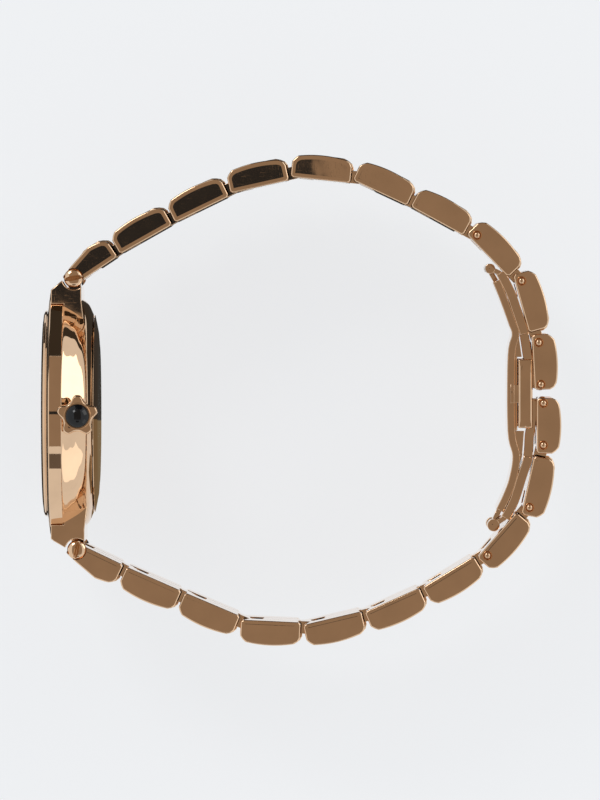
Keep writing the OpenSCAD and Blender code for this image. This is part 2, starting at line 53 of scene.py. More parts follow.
# The case lies on its side: x runs from 12 to 6 o'clock, depth from the crystal to the back
CASE_X, CASE_Y, CASE_Z = 1.785, -33.63, 16.3
CASE_R = 16.3
CASE_T = 7.6
CRYSTAL_R = 12.5
CRYSTAL_T = 1.1
BORE_R = 11.35
BACK_R = 12.5
BACK_FLAT_R = 9.0
BAND_Y = 1.0
BOWL_Y = 2.8
BACK_Y = 6.75
SHOULDER_HALF = 8.0
DIAL_Y = 2.26
DIAL_R = 11.2
DIAL_T = 0.35
HAND_T = 0.14

# How much flatter than its solid the case back is drawn, and how far the hands rise over theirs
BACK_LOWERED = 0.3
HAND_LIFT = 0.03

STEM_Y = 4.87
CROWN_Z = 32.75
CROWN_R = 2.7
CROWN_LEN = 2.6
HOLLOW_R = 1.6
HOLLOW_DEPTH = 0.75
FIRST_HOLLOW = 216
STAR_STEPS, SOFT_STEPS = 360, 10
STONE_R = 1.5
STONE_SEAT = 0.5
STONE_SIDE = 0.45
STONE_DOME = 0.75

# Steps of the crown's bevel: inset as a share of the bevel's size, and fall for this size
BEVEL_SIZE = 0.24
BEVEL_STEPS = ((1.25, 0.05), (1.0, 0.04), (0.8, 0.06), (0.5, 0.13), (0.25, 0.22), (0.06, 0.34), (0, 0.46))

# Lug hinges, and the direction of each link in degrees, measured from the depth axis
LUG_12 = (-17.65, 4.1)
LUG_6 = (17.55, 4.5)
TURNS_12 = (-33.8, -29.4, -25.9, -12.6, 5.9, 25, 28.6, 45.7, 74.3, 87)
TURNS_6 = (25.6, 23.7, 23, 2.6, -13.3, -24.1, -31.3, -48.8, -77.5, -89.9)
LINKS = len(TURNS_12)
FIRST_PITCH, LINK_PITCH, LAST_PITCH = 7.85, 8.27, 5.45
LAST_EXTRA = 2.25
LINK_GAP = 0.49
PIN_TO_INNER = 0.87
PIN_TO_END = 1.08
LINK_OUTER = 3.2 - PIN_TO_INNER
LINK_CROWN_R = 15.5
BRACELET_W = 16.0
LINK_TAPER = 0.16
CENTRE_W = 5.0
ROW_GAP = 0.12
JOINT_AT, JOINT_R = 3, 0.6
PIN_R = 0.39
KNUCKLE_R = 0.82
SCREW_R = 1.25
FIRST_SHOWN_PIN = 7
PIN_SUNK, PIN_HIDDEN = 0.05, 1

# Length and drop of the slope at a link's leading end
NOSE = (0.75, 1.15)
FIRST_NOSE = (4.2, 1.4)

# Recesses round pins and screws: radius at the bottom, radius at the face, depth
PIN_DISH = (PIN_R + 0.03, PIN_R + 0.24, 0.32)
SCREW_DISH = (SCREW_R + 0.05, SCREW_R + 0.05, 0.6)

# A screw head as shares of its radius and heights over the link's face, and its slot's section
SCREW_DOME = ((0, 0.08), (0.2, 0.075), (0.4, 0.05), (0.6, 0), (0.76, -0.08), (0.88, -0.17),
              (0.96, -0.28), (1, -0.42), (1, -0.6), (0, -0.6))
SLOT_SECTION = ((-0.62, 0.6), (-0.16, -0.2), (0.0, -0.3), (0.16, -0.2), (0.62, 0.6))
SLOT_HALF = 1.6

# For each half of the bracelet: its lug, its links' directions, which side of them faces out
# and the angle of its screws' slots
HALVES = {"12": (LUG_12, TURNS_12, 1, 100), "06": (LUG_6, TURNS_6, -1, 165)}

# The photo shows the clasp's blades thicker than their solids, whose thickness is BLADE_T
BLADE_T = 0.65
BLADE_SHOWN = 1.0
ARM_SHOWN = 1.2
ARM_LIFT = 0.2
BLADE_W = 11.0
TIP_W = 7.0
CLASP_BACK = 3.95
BLOCK_DEPTH = 1.1
BLOCK_LEN = 9.6
BLOCK_HALF = 5.4
BUTTON_LEN = 8.9
BUTTON_H = 1.85
BUTTON_IN, BUTTON_OUT = 4.7, 6.6
NECK_HALF = 2.4
NECK_PLAY = 0.03
HINGE_KNUCKLE = 0.65
PLAY_KNUCKLE = 0.8
PATH_STEPS = 5

# An edge without rounding or a soft border, the steps round large and small circles, and what
# counts as nothing
SHARP = (0, 0, 0)
CASE_STEPS, KNUCKLE_STEPS = 256, 40
TINY = 1e-6

# Millimetres per pixel of the photo, the pixel where the case's axis meets the crystal, and
# the pixels between which the side faces mirror the lens shade
PHOTO_SCALE = 0.13
PHOTO_CASE = (42, 415.5)
SHADE_FROM, SHADE_TO = (10, 110), (324, 335)

# Places and sizes in the studio are in metres, and the camera's sensor is in millimetres
EYE_X = -0.018
AIM = (0.00004, -0.00023, 0.0163)
LAMP_AIM = (0, 0, 0.016)
SENSOR = 36
FLOOR_HALF, FLOOR_Z = 4.0, -0.0002
FLOOR_GLOW, FLOOR_SHARE = 1.147, 0.72
ROOM_LIGHT, ROOM_COLOUR = 0.62, (0.97, 0.98, 1, 1)
MIRROR_Z = 0.024
SHADE_Z = 1.25
SHADE_SOFT = 0.0035
CEILING_Z = 1.35
CLOTH_X, CLOTH_TOP = -1.9, 1.34
DAYLIGHT = (1, 0.985, 0.95)


# Places on the bracelet


def step_of(k):
    """Distance from hinge k to the next one."""
    if k == 0:
        return FIRST_PITCH
    return LAST_PITCH if k == LINKS - 1 else LINK_PITCH


def hinge_of(start, turns, k):
    """Hinge k of one bracelet half, as (x, depth)."""
    x, y = start
    for i in range(k):
        a = math.radians(turns[i])
        x += step_of(i) * math.sin(a)
        y += step_of(i) * math.cos(a)
    return x, y


def half_width(k):
    """Half the width of link k. The bracelet narrows toward the clasp."""
    return (BRACELET_W - LINK_TAPER * k) / 2


def beside(p, dx, dy):
    """A point that lies this far from another one."""
    return p[0] + dx, p[1] + dy


def points_from(p, *offsets):
    """Points that lie these distances from another one."""
    return [beside(p, dx, dy) for dx, dy in offsets]


TIP_12 = hinge_of(LUG_12, TURNS_12, LINKS)
TIP_6 = hinge_of(LUG_6, TURNS_6, LINKS)
MID_TIP = ((TIP_12[0] + TIP_6[0]) / 2, (TIP_12[1] + TIP_6[1]) / 2)
HINGE_12 = beside(TIP_12, -15.0, -6.55)
HINGE_6 = beside(TIP_6, 15.87, -6.42)

# Lines along the clasp's blades, and the wedges beside its catch block, measured from the hinges
BASE_PATH = [
    *points_from(HINGE_12, (1.6, 0.8), (3.55, 1.6), (7, 2.85), (8.6, 3.3)),
    *points_from(MID_TIP, (-BLOCK_LEN / 2, -CLASP_BACK), (BLOCK_LEN / 2, -CLASP_BACK)),
    *points_from(HINGE_6, (-9, 2.95), (-6, 2.5), (-3.9, 1.75), (-1.9, 0.8)),
]
ARM_12_PATH = [
    *points_from(HINGE_12, (0.5, 1.15), (3.1, 2.45), (5.1, 3.15), (7, 3.8), (8.5, 4.25), (11.4, 4.7)),
    *points_from(TIP_12, (-2.2, -1.6), (0.3, -1.5)),
]
ARM_6_PATH = [
    *points_from(HINGE_6, (-0.9, 1.35), (-3.2, 2.5), (-6.2, 3.45), (-8.9, 4.3), (-11.6, 4.5)),
    *points_from(TIP_6, (2.2, -1.6), (-0.3, -1.6)),
]
WEDGE_12 = ((7.6, 3.5), (8.6, 3.7), (11.45, 4.1), (11.45, 2.7), (9.4, 3.1), (8.6, 3.3))
WEDGE_6 = ((-8.2, 3.45), (-8.9, 3.7), (-12.25, 3.95), (-12.25, 2.5), (-10, 3.0), (-9, 3.3))
WEDGE_HALF = 5.2


# Placing local points in the watch's frame


def flat_place(x, y, z):
    """A point given as (x, depth, height over the case centre)."""
    return CASE_X + x, CASE_Y + y, CASE_Z + z


def link_place(p, turn, side):
    """Places points given along a link, outward from it and along its pin."""
    s, c = math.sin(math.radians(turn)), math.cos(math.radians(turn))

    def place(u, v, z):
        return flat_place(p[0] + u * s - v * side * c, p[1] + u * c + v * side * s, z)
    return place


def shifted(p):
    """Places points round a centre in the bracelet's plane."""
    return lambda u, v, z: flat_place(p[0] + u, p[1] + v, z)


def dial_place(turn, level):
    """Places points given outward and sideways at an angle on the dial, and up from a level."""
    a = math.radians(turn)

    def place(out, across, rise):
        return flat_place(-out * math.cos(a) + across * math.sin(a), level - rise,
                          out * math.sin(a) + across * math.cos(a))
    return place


def crown_place(rise):
    """Places points round the crown's axis, upward from a height over its foot."""
    return lambda x, y, z: (CASE_X + x, CASE_Y + STEM_Y + y, CROWN_Z + rise + z)


# Outlines and the lists of points and faces that become a mesh


class Shell:
    """Collects the faces of one piece."""

    def __init__(self, part=None, place=flat_place):
        self.points = []
        self.faces = []
        if part:
            self.add(part, place)

    def add(self, part, place=flat_place):
        """Adds points and faces, with every point put where place says."""
        points, faces = part
        base = len(self.points)
        self.points += [place(*p) for p in points]
        self.faces += [tuple(i + base for i in f) for f in faces]


def mm(length):
    """A setting in metres, as millimetres."""
    return length * 1000


def rounded(radius):
    """An edge with this radius and no soft border."""
    return radius, 0, 0


def rectangle(x0, y0, x1, y1):
    """Outline of a rectangle between two corners."""
    return [(x0, y0), (x1, y0), (x1, y1), (x0, y1)]


def circle(r, count):
    """Outline of a circle round the origin."""
    return [(r * math.cos(2 * math.pi * i / count), r * math.sin(2 * math.pi * i / count))
            for i in range(count)]


def hull(points):
    """Convex outline of 2D points, counterclockwise."""
    pts = sorted(set((round(x, 6), round(y, 6)) for x, y in points))

    def half(seq):
        out = []
        for p in seq:
            while len(out) > 1 and ((out[-1][0] - out[-2][0]) * (p[1] - out[-2][1])
                                    - (out[-1][1] - out[-2][1]) * (p[0] - out[-2][0])) <= 1e-9:
                out.pop()
            out.append(p)
        return out[:-1]
    return half(pts) + half(pts[::-1])


def eased(points, radius, steps, closed=True):
    """An outline with its corners rounded. Short sides get a smaller radius."""
    out = []
    n = len(points)
    for i, p in enumerate(points):
        if not closed and i in (0, n - 1):
            out.append(p)
            continue
        a, b = Vector(points[i - 1]), Vector(points[(i + 1) % n])
        p = Vector(p)
        da, db = (a - p), (b - p)
        la, lb = da.length, db.length
        da, db = da / la, db / lb
        bend = math.acos(max(-1, min(1, da.dot(db))))
        if bend > math.radians(178):
            out.append(tuple(p))
            continue
        cut = min(radius / math.tan(bend / 2), 0.45 * la, 0.45 * lb)
        start, end = p + da * cut, p + db * cut
        for j in range(steps + 1):
            t = j / steps
            out.append(tuple(start * (1 - t) ** 2 + p * 2 * t * (1 - t) + end * t * t))
    return out


def smooth_path(points, steps=PATH_STEPS):
    """A flowing line through the points."""
    out = []
    n = len(points)
    for i in range(n - 1):
        p0 = Vector(points[max(i - 1, 0)])
        p1, p2 = Vector(points[i]), Vector(points[i + 1])
        p3 = Vector(points[min(i + 2, n - 1)])
        for j in range(steps):
            t = j / steps
            out.append(tuple(0.5 * (2 * p1 + (p2 - p0) * t + (2 * p0 - 5 * p1 + 4 * p2 - p3) * t * t
                                    + (3 * p1 - p0 - 3 * p2 + p3) * t ** 3)))
    out.append(tuple(points[-1]))
    return out


def ribbon(points, thick):
    """Outline of a strip of even thickness along a line."""
    left, right = [], []
    n = len(points)
    for i, p in enumerate(points):
        a, b = Vector(points[max(i - 1, 0)]), Vector(points[min(i + 1, n - 1)])
        d = (b - a).normalized()
        side = Vector((-d.y, d.x)) * thick / 2
        left.append(tuple(Vector(p) + side))
        right.append(tuple(Vector(p) - side))
    return left + right[::-1]


def bridged(rings):
    """Faces between rings of equally many points, with the first and the last ring capped."""
    n = len(rings[0])
    points = [p for ring in rings for p in ring]
    faces = []
    for i in range(len(rings) - 1):
        a, b = i * n, (i + 1) * n
        for j in range(n):
            k = (j + 1) % n
            faces.append((a + j, a + k, b + k, b + j))
    faces.append(tuple(range(n))[::-1])
    faces.append(tuple(range(len(points) - n, len(points))))
    return points, faces


def cushion(outline, z0, z1, low, high, rays=72):
    """A slab with a convex outline. low and high give the two faces' edge radius, the width
    of the soft border inside it and how far that border falls away."""
    outline = hull(outline)
    cx = sum(p[0] for p in outline) / len(outline)
    cy = sum(p[1] for p in outline) / len(outline)
    sides = []
    for i, (x0, y0) in enumerate(outline):
        x1, y1 = outline[(i + 1) % len(outline)]
        length = math.hypot(x1 - x0, y1 - y0)
        nx, ny = (y1 - y0) / length, (x0 - x1) / length
        sides.append((nx, ny, (x0 - cx) * nx + (y0 - cy) * ny))
    turns = sorted({round(math.atan2(y - cy, x - cx), 5) for x, y in outline}
                   | {round(2 * math.pi * i / rays - math.pi, 5) for i in range(rays)})
    turns = [t for i, t in enumerate(turns) if i == 0 or t - turns[i - 1] > 0.004]

    def ring(inset, z):
        out = []
        for t in turns:
            c, s = math.cos(t), math.sin(t)
            reach = min((h - inset) / (nx * c + ny * s)
                        for nx, ny, h in sides if nx * c + ny * s > TINY)
            out.append((cx + reach * c, cy + reach * s, z))
        return out

    def face(z, up, edge, border, sag):
        rings = []
        for i in range(5):
            t = math.pi / 2 * i / 4
            rings.append(ring(edge * (1 - math.cos(t)), z - up * (sag + edge * (1 - math.sin(t)))))
        if border > 0:
            for s in (0.2, 0.4, 0.6, 0.8, 1):
                rings.append(ring(edge + border * s, z - up * sag * (1 - s) ** 2))
        return rings
    return bridged(face(z0, -1, *low)[::-1] + face(z1, 1, *high))


def prism(points, z0, z1, edge):
    """A plate with any outline and rounded rims."""
    bm = bmesh.new()
    low = [bm.verts.new((x, y, z0)) for x, y in points]
    high = [bm.verts.new((x, y, z1)) for x, y in points]
    bm.faces.new(low[::-1])
    bm.faces.new(high)
    for i in range(len(points)):
        j = (i + 1) % len(points)
        bm.faces.new((low[i], low[j], high[j], high[i]))
    bmesh.ops.recalc_face_normals(bm, faces=bm.faces)
    if edge > 0:
        rims = [e for e in bm.edges if abs(e.verts[0].co.z - e.verts[1].co.z) < TINY]
        bmesh.ops.bevel(bm, geom=rims, offset=edge, segments=3, profile=0.5,
                        affect="EDGES", clamp_overlap=True)
    bm.verts.index_update()
    out = [tuple(v.co) for v in bm.verts], [tuple(v.index for v in f.verts) for f in bm.faces]
    bm.free()
    return out


def turned(profile, count=192, axis="Y"):
    """A turned piece round the case axis, or round a pin with axis Z, from (radius, place)
    points. A profile that starts and ends off the axis closes on itself."""
    rings, points, faces = [], [], []
    for r, y in profile:
        spots = [(0, 0)] if r < TINY else circle(r, count)
        rings.append(range(len(points), len(points) + len(spots)))
        points += [(a, y, b) if axis == "Y" else (a, b, y) for a, b in spots]
    pairs = list(zip(rings, rings[1:]))
    if all(len(ring) > 1 for ring in rings):
        pairs.append((rings[-1], rings[0]))
    for a, b in pairs:
        for j in range(count):
            k = (j + 1) % count
            corners = (a[j % len(a)], a[k % len(a)], b[k % len(b)], b[j % len(b)])
            face = tuple(dict.fromkeys(corners))
            if len(face) > 2:
                faces.append(face)
    return points, faces


def pin(half, r=PIN_R, dome=0.2):
    """A round pin with domed ends."""
    end = []
    for i in range(7):
        t = math.pi / 2 * i / 6
        end.append((r * math.sin(t), half - dome * (1 - math.cos(t))))
    return turned([(x, -z) for x, z in end] + end[::-1], 48, "Z")


def bar(r, z0, z1):
    """A round bar with softened ends."""
    e = 0.08
    return turned([(0, z0), (r - e, z0), (r - 0.3 * e, z0 + 0.3 * e), (r, z0 + e),
                   (r, z1 - e), (r - 0.3 * e, z1 - 0.3 * e), (r - e, z1), (0, z1)], KNUCKLE_STEPS, "Z")


# Objects


def in_scene(name, data):
    """An object of the scene that shows this mesh, lamp or camera."""
    thing = bpy.data.objects.new(name, data)
    bpy.context.scene.collection.objects.link(thing)
    return thing


def solid(name, shell):
    """An object with a shell's faces, all of them facing out."""
    mesh = bpy.data.meshes.new(name)
    mesh.from_pydata([tuple(c * MM for c in p) for p in shell.points], [], shell.faces)
    bm = bmesh.new()
    bm.from_mesh(mesh)
    bmesh.ops.recalc_face_normals(bm, faces=bm.faces)
    bm.to_mesh(mesh)
    bm.free()
    return in_scene(name, mesh)


def carve(piece, cuts):
    """Cuts shells out of a piece."""
    cutters = [solid("cutter", shell) for shell in cuts]
    for cutter in cutters:
        step = piece.modifiers.new("cut", "BOOLEAN")
        step.operation = "DIFFERENCE"
        step.solver = "EXACT"
        step.object = cutter
    bpy.context.view_layer.update()
    graph = bpy.context.evaluated_depsgraph_get()
    done = bpy.data.meshes.new_from_object(piece.evaluated_get(graph))
    piece.modifiers.clear()
    piece.data = done
    for cutter in cutters:
        old = cutter.data
        bpy.data.objects.remove(cutter)
        bpy.data.meshes.remove(old)


def make_piece(name, shell, finish, body, node, crease=35, cuts=()):
    """Turns a shell into a shaded object that rides on a body and may stand for a CAD node."""
    piece = solid(name, shell)
    if cuts:
        carve(piece, cuts)
    mesh = piece.data
    mesh.shade_smooth()
    mesh.set_sharp_from_angle(angle=math.radians(crease))
    mesh.materials.clear()
    mesh.materials.append(finish)
    weighted = piece.modifiers.new("even_flats", "WEIGHTED_NORMAL")
    weighted.mode = "FACE_AREA"
    weighted.weight = 80
    weighted.keep_sharp = True
    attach(piece, body)
    if node:
        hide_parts(node)


# Finishes


class Graph:
    """The nodes of a material or of the world."""

    def __init__(self, owner):
        owner.use_nodes = True
        self.nodes = owner.node_tree.nodes
        self.links = owner.node_tree.links

    def put(self, socket, value):
        """Gives a socket a plain value or another node's output."""
        if isinstance(value, bpy.types.NodeSocket):
            self.links.new(value, socket)
        elif value is not None:
            socket.default_value = value

    def add(self, kind, sockets, **settings):
        """A new node with its settings, and with a value or an output for each socket named."""
        node = self.nodes.new("ShaderNode" + kind)
        for name, value in settings.items():
            setattr(node, name, value)
        for name, value in sockets.items():
            self.put(node.inputs[name], value)
        return node

    def place(self):
        """The object's own coordinates."""
        known = self.nodes.get("Texture Coordinate")
        return (known or self.nodes.new("ShaderNodeTexCoord")).outputs["Object"]

    def span(self, value, a, b, c, d, **settings):
        """Maps a value from the range a to b onto the range c to d."""
        sockets = {"Value": value, "From Min": a, "From Max": b, "To Min": c, "To Max": d}
        return self.add("MapRange", sockets, **settings).outputs["Result"]

    def maths(self, kind, a, b):
        """One step of arithmetic on plain values or outputs."""
        return self.add("Math", {0: a, 1: b}, operation=kind).outputs["Value"]

    def blend(self, factor, low, high):
        """A colour between two colours."""
        node = self.add("Mix", {"Factor": factor}, data_type="RGBA")
        sockets = [s for s in node.inputs if s.type == "RGBA"]
        for socket, colour in zip(sockets, (low, high)):
            socket.default_value = (*colour, 1)
        return [s for s in node.outputs if s.type == "RGBA"][0]

    def seen(self):
        """1 where the camera looks, also in mirrors and through glass, and otherwise 0."""
        rays = self.add("LightPath", {}).outputs
        direct = self.maths("MAXIMUM", rays["Is Camera Ray"], rays["Is Glossy Ray"])
        return self.maths("MAXIMUM", direct, rays["Is Transmission Ray"])


class Recipe(Graph):
    """A material under construction round its shader."""

    def __init__(self, name):
        self.material = bpy.data.materials.new(name)
        super().__init__(self.material)
        self.shader = self.nodes["Principled BSDF"]

    def stretch(self, scale, turn=(0, 0, 0)):
        """Object coordinates scaled by (x, y, z) and turned."""
        sockets = {"Vector": self.place(), "Scale": scale, "Rotation": turn}
        return self.add("Mapping", sockets).outputs["Vector"]

    def noise(self, scale, detail, rough=0.55, where=None):
        """Cloudy noise over the object, or over other coordinates."""
        sockets = {"Vector": where or self.place(), "Scale": scale, "Detail": detail,
                   "Roughness": rough}
        return self.add("TexNoise", sockets).outputs["Fac"]

    def wave(self, scale, distortion):
        """Parallel stripes."""
        sockets = {"Vector": self.place(), "Scale": scale, "Distortion": distortion}
        return self.add("TexWave", sockets).outputs["Fac"]

    def relief(self, height, strength, distance, under=None):
        """A bumpy surface, on top of the bumps of under."""
        sockets = {"Height": height, "Strength": strength, "Distance": distance, "Normal": under}
        return self.add("Bump", sockets).outputs["Normal"]

    def set(self, **values):
        """Gives the shader's sockets their values. An underscore stands for a blank."""
        for name, value in values.items():
            self.put(self.shader.inputs[name.replace("_", " ")], value)


def material(name, fill, *values, **more):
    """The material of this name. fill writes its recipe the first time."""
    known = bpy.data.materials.get(name)
    if known:
        return known
    recipe = Recipe(name)
    fill(recipe, *values, **more)
    return recipe.material


def shade(colour, by):
    """A colour made darker or lighter by a factor."""
    return tuple(max(0.0, min(1.0, c * by)) for c in colour)


def polished_gold(r):
    """Mirror-polished rose gold plating with hairline scratches, faint waves and smudges."""
    look = bpy.context.scene.watch_finish
    tone = tuple(look.gold)
    clouds = r.span(r.noise(260, 3), 0.3, 0.7, 0, 1)
    hair_a = r.noise(1, 2, 0.6, r.stretch((9000, 500, 9000), (0.3, 0.2, 0.5)))
    hair_b = r.noise(1, 2, 0.6, r.stretch((700, 11000, 8000), (0.1, 0.7, -0.4)))
    lines = r.maths("MAXIMUM", r.span(hair_a, 0.62, 0.74, 0, 1), r.span(hair_b, 0.64, 0.76, 0, 1))
    smudge = r.span(r.noise(420, 4, 0.6), 0.5, 0.75, 0.0, 0.02)
    worn = r.maths("MULTIPLY", lines, look.scratches * 0.08)
    waves = r.relief(r.noise(330, 1), 0.10, 0.00006)
    r.set(Metallic=1.0,
          Base_Color=r.blend(clouds, shade(tone, 0.95), shade(tone, 1.05)),
          Roughness=r.maths("ADD", r.maths("ADD", worn, smudge), 0.03),
          Normal=r.relief(lines, 0.05, 0.000004, waves))


def sapphire(r):
    """Clear crystal with a trace of smears."""
    r.set(Base_Color=(0.97, 0.985, 0.98, 1), Transmission_Weight=1.0, IOR=1.5,
          Roughness=r.span(r.noise(500, 4), 0.55, 0.8, 0.0, 0.05),
          Normal=r.relief(r.noise(200, 1), 0.02, 0.00002))


def cabochon(r):
    """Black polished stone with a deep gloss and faint grey veins."""
    veins = r.span(r.noise(1400, 4, 0.7), 0.52, 0.72, 0, 1)
    r.set(Base_Color=r.blend(veins, (0.004, 0.004, 0.005), (0.014, 0.014, 0.017)),
          Roughness=r.span(r.noise(2500, 2), 0.4, 0.7, 0.02, 0.06),
          Specular_IOR_Level=0.36,
          Normal=r.relief(r.noise(900, 1), 0.03, 0.00002))


def rubber(r):
    """Dark gasket rubber."""
    r.set(Base_Color=r.blend(r.noise(3000, 3), (0.012, 0.011, 0.010), (0.03, 0.028, 0.026)),
          Roughness=r.span(r.noise(2200, 2), 0.3, 0.7, 0.5, 0.7),
          Normal=r.relief(r.noise(5200, 2), 0.3, 0.00001))


def sunray(r):
    """Silvered dial with a brushed sunray finish that runs out from the centre."""
    tone = tuple(bpy.context.scene.watch_finish.dial)
    place = r.add("SeparateXYZ", {"Vector": r.place()}).outputs
    turn = r.maths("ARCTAN2", r.maths("SUBTRACT", place["Z"], CASE_Z * MM),
                   r.maths("SUBTRACT", place["X"], CASE_X * MM))
    rays = r.add("TexNoise", {"W": turn, "Scale": 40, "Detail": 3}, noise_dimensions="1D")
    fine = rays.outputs["Fac"]
    r.set(Metallic=0.55,
          Base_Color=r.blend(r.span(fine, 0.3, 0.7, 0, 1), shade(tone, 0.9), shade(tone, 1.02)),
          Roughness=r.span(fine, 0.3, 0.7, 0.26, 0.4))


def metal(r, tone, rough_low, rough_high, scale=(2500, 2500, 2500), bump=0.15, metallic=1.0):
    """A bare metal with a brushed or grained finish."""
    grain = r.noise(1, 4, 0.6, r.stretch(scale))
    stain = r.span(r.noise(500, 4, 0.6), 0.35, 0.7, 0, 1)
    r.set(Metallic=metallic,
          Base_Color=r.blend(stain, shade(tone, 0.86), tone),
          Roughness=r.span(grain, 0.3, 0.7, rough_low, rough_high),
          Normal=r.relief(grain, bump, 0.000008))


def moulded(r, tone):
    """Moulded plastic with a fine texture."""
    r.set(Base_Color=r.blend(r.noise(900, 4), shade(tone, 0.88), tone),
          Roughness=r.span(r.noise(2500, 3), 0.3, 0.7, 0.4, 0.6),
          Normal=r.relief(r.noise(6000, 2), 0.25, 0.00001))


def circuit(r):
    """Green solder mask with thin copper tracks showing through."""
    tracks = r.span(r.wave(700, 3), 0.8, 0.9, 0, 1)
    r.set(Base_Color=r.blend(tracks, (0.01, 0.09, 0.035), (0.05, 0.2, 0.08)),
          Roughness=r.span(r.noise(3000, 2), 0.3, 0.7, 0.3, 0.45),
          Normal=r.relief(tracks, 0.4, 0.00002))


def wound_copper(r):
    """Fine enamelled wire wound side by side."""
    # The copper's colour darkens into the grooves between turns and lightens on their crests: painted
    # shade and painted sheen.
    turns = r.wave(3200, 0.4)
    r.set(Metallic=0.8,
          Base_Color=r.blend(turns, (0.28, 0.09, 0.035), (0.62, 0.27, 0.13)),
          Roughness=r.span(turns, 0, 1, 0.5, 0.25),
          Normal=r.relief(turns, 0.6, 0.00002))


def gold_finish():
    """The finish of the case, the bracelet, the crown and the clasp."""
    return material("rose_gold_polished", polished_gold)


def finish_node(name, finish):
    """Gives a CAD node that stays a finish of its own."""
    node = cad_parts[name]
    if not node.material_slots:
        node.data.materials.append(finish)
    for slot in node.material_slots:
        slot.material = finish


# Settings a user would change


class WatchFinish(bpy.types.PropertyGroup):
    gold: FloatVectorProperty(
        name="Rose gold", description="Colour of the plated metal", subtype="COLOR",
        size=3, min=0, max=1, default=(0.78, 0.54, 0.35))
    dial: FloatVectorProperty(
        name="Dial", description="Colour of the sunray dial", subtype="COLOR",
        size=3, min=0, max=1, default=(0.83, 0.80, 0.76))
    hands: FloatVectorProperty(
        name="Hands", description="Colour of both hands", subtype="COLOR",
        size=3, min=0, max=1, default=(0.72, 0.46, 0.31))
    scratches: FloatProperty(
        name="Scratches", description="How much the hairlines roughen the polish",
        subtype="FACTOR", min=0, max=1, default=0.07)
    minute_marks: IntProperty(
        name="Minute marks", description="Marks round the dial's edge",
        min=12, max=120, default=60)


class BraceletSizes(bpy.types.PropertyGroup):
    edge: FloatProperty(
        name="Edge radius", description="Rounding where a link's side meets its top",
        unit="LENGTH", precision=5, min=0.00005, max=0.0004, default=0.00018)
    border: FloatProperty(
        name="Soft border", description="Width of the rolled border inside a link's side face",
        unit="LENGTH", precision=5, min=0.0, max=0.0006, default=0.00042)
    fall: FloatProperty(
        name="Border fall", description="How far the rolled border falls at the edge",
        unit="LENGTH", precision=5, min=0.0, max=0.0002, default=0.00005)


class CaseSizes(bpy.types.PropertyGroup):
    edge: FloatProperty(
        name="Edge radius", description="Rounding of the case's and bezel's corners",
        unit="LENGTH", precision=5, min=0.00002, max=0.0003, default=0.00010)
    crown_edge: FloatProperty(
        name="Crown edge", description="Bevel round the crown's face",
        unit="LENGTH", precision=5, min=0.00005, max=0.0004, default=0.00024)


class StudioSizes(bpy.types.PropertyGroup):
    floor: FloatVectorProperty(
        name="Floor", description="Colour of the floor and of the far background",
        subtype="COLOR", size=3, min=0, max=1, default=(0.835, 0.85, 0.868))
    card: FloatVectorProperty(
        name="Ceiling card", description="Colour that flat metal mirrors from overhead",
        subtype="COLOR", size=3, min=0, max=1, default=(0.322, 0.256, 0.199))
    camera_height: FloatProperty(
        name="Camera height", description="Height of the camera over the floor",
        unit="LENGTH", min=0.3, max=3, default=1.1)
    view_height: FloatProperty(
        name="Picture height", description="Height of the picture at the watch's middle",
        unit="LENGTH", precision=5, min=0.05, max=0.3, default=0.1043)
    light: FloatProperty(
        name="Light level", description="Level of the lamps and of the room's light",
        min=0.1, max=3, default=1.0)


# Bracelet


def brick_outline(x0, length, lead, drop):
    """Side view of a brick with a crowned outer face and cut back corners. Its leading end
    slopes over the length lead and is lower by drop."""
    nip, ease, tail = 0.3, 0.55, 1.3
    x1 = x0 + length
    nose = min(lead, length - 1.9)
    low = LINK_OUTER - 1.15
    shoulder = LINK_OUTER - 0.3
    first = LINK_OUTER - drop
    corners = [
        (x0, nip - PIN_TO_INNER), (x0 + nip, -PIN_TO_INNER), (x1 - nip, -PIN_TO_INNER),
        (x1, nip - PIN_TO_INNER), (x1, low), (x1 - 0.25, low + 0.5), (x1 - 0.75, shoulder),
        (x1 - tail, LINK_OUTER), (x0 + nose + ease, LINK_OUTER), (x0 + nose, shoulder),
        (x0 + nose * 0.4, (first + shoulder) / 2), (x0, first),
    ]
    for i in range(1, 12):
        corners.append((x0 + nose + ease + (length - nose - ease - tail) * i / 12, LINK_OUTER))

    def arc(x):
        across = x - x0 - length / 2
        return LINK_OUTER - LINK_CROWN_R + math.sqrt(LINK_CROWN_R ** 2 - across ** 2)
    return eased(hull([(x, min(y, arc(x))) for x, y in corners]), 0.22, 3)


def link_bricks(k, sizes, place):
    """The two outer bricks of a link."""
    outer = half_width(k)
    inner = CENTRE_W / 2 + ROW_GAP
    length = step_of(k) + (LAST_EXTRA if k == LINKS - 1 else 0) - LINK_GAP
    outline = brick_outline(-PIN_TO_END, length, *(NOSE if k else FIRST_NOSE))
    soft = (mm(sizes.edge), mm(sizes.border), mm(sizes.fall))
    shell = Shell(cushion(outline, inner, outer, rounded(0.1), soft), place)
    shell.add(cushion(outline, -outer, -inner, soft, rounded(0.1)), place)
    return shell


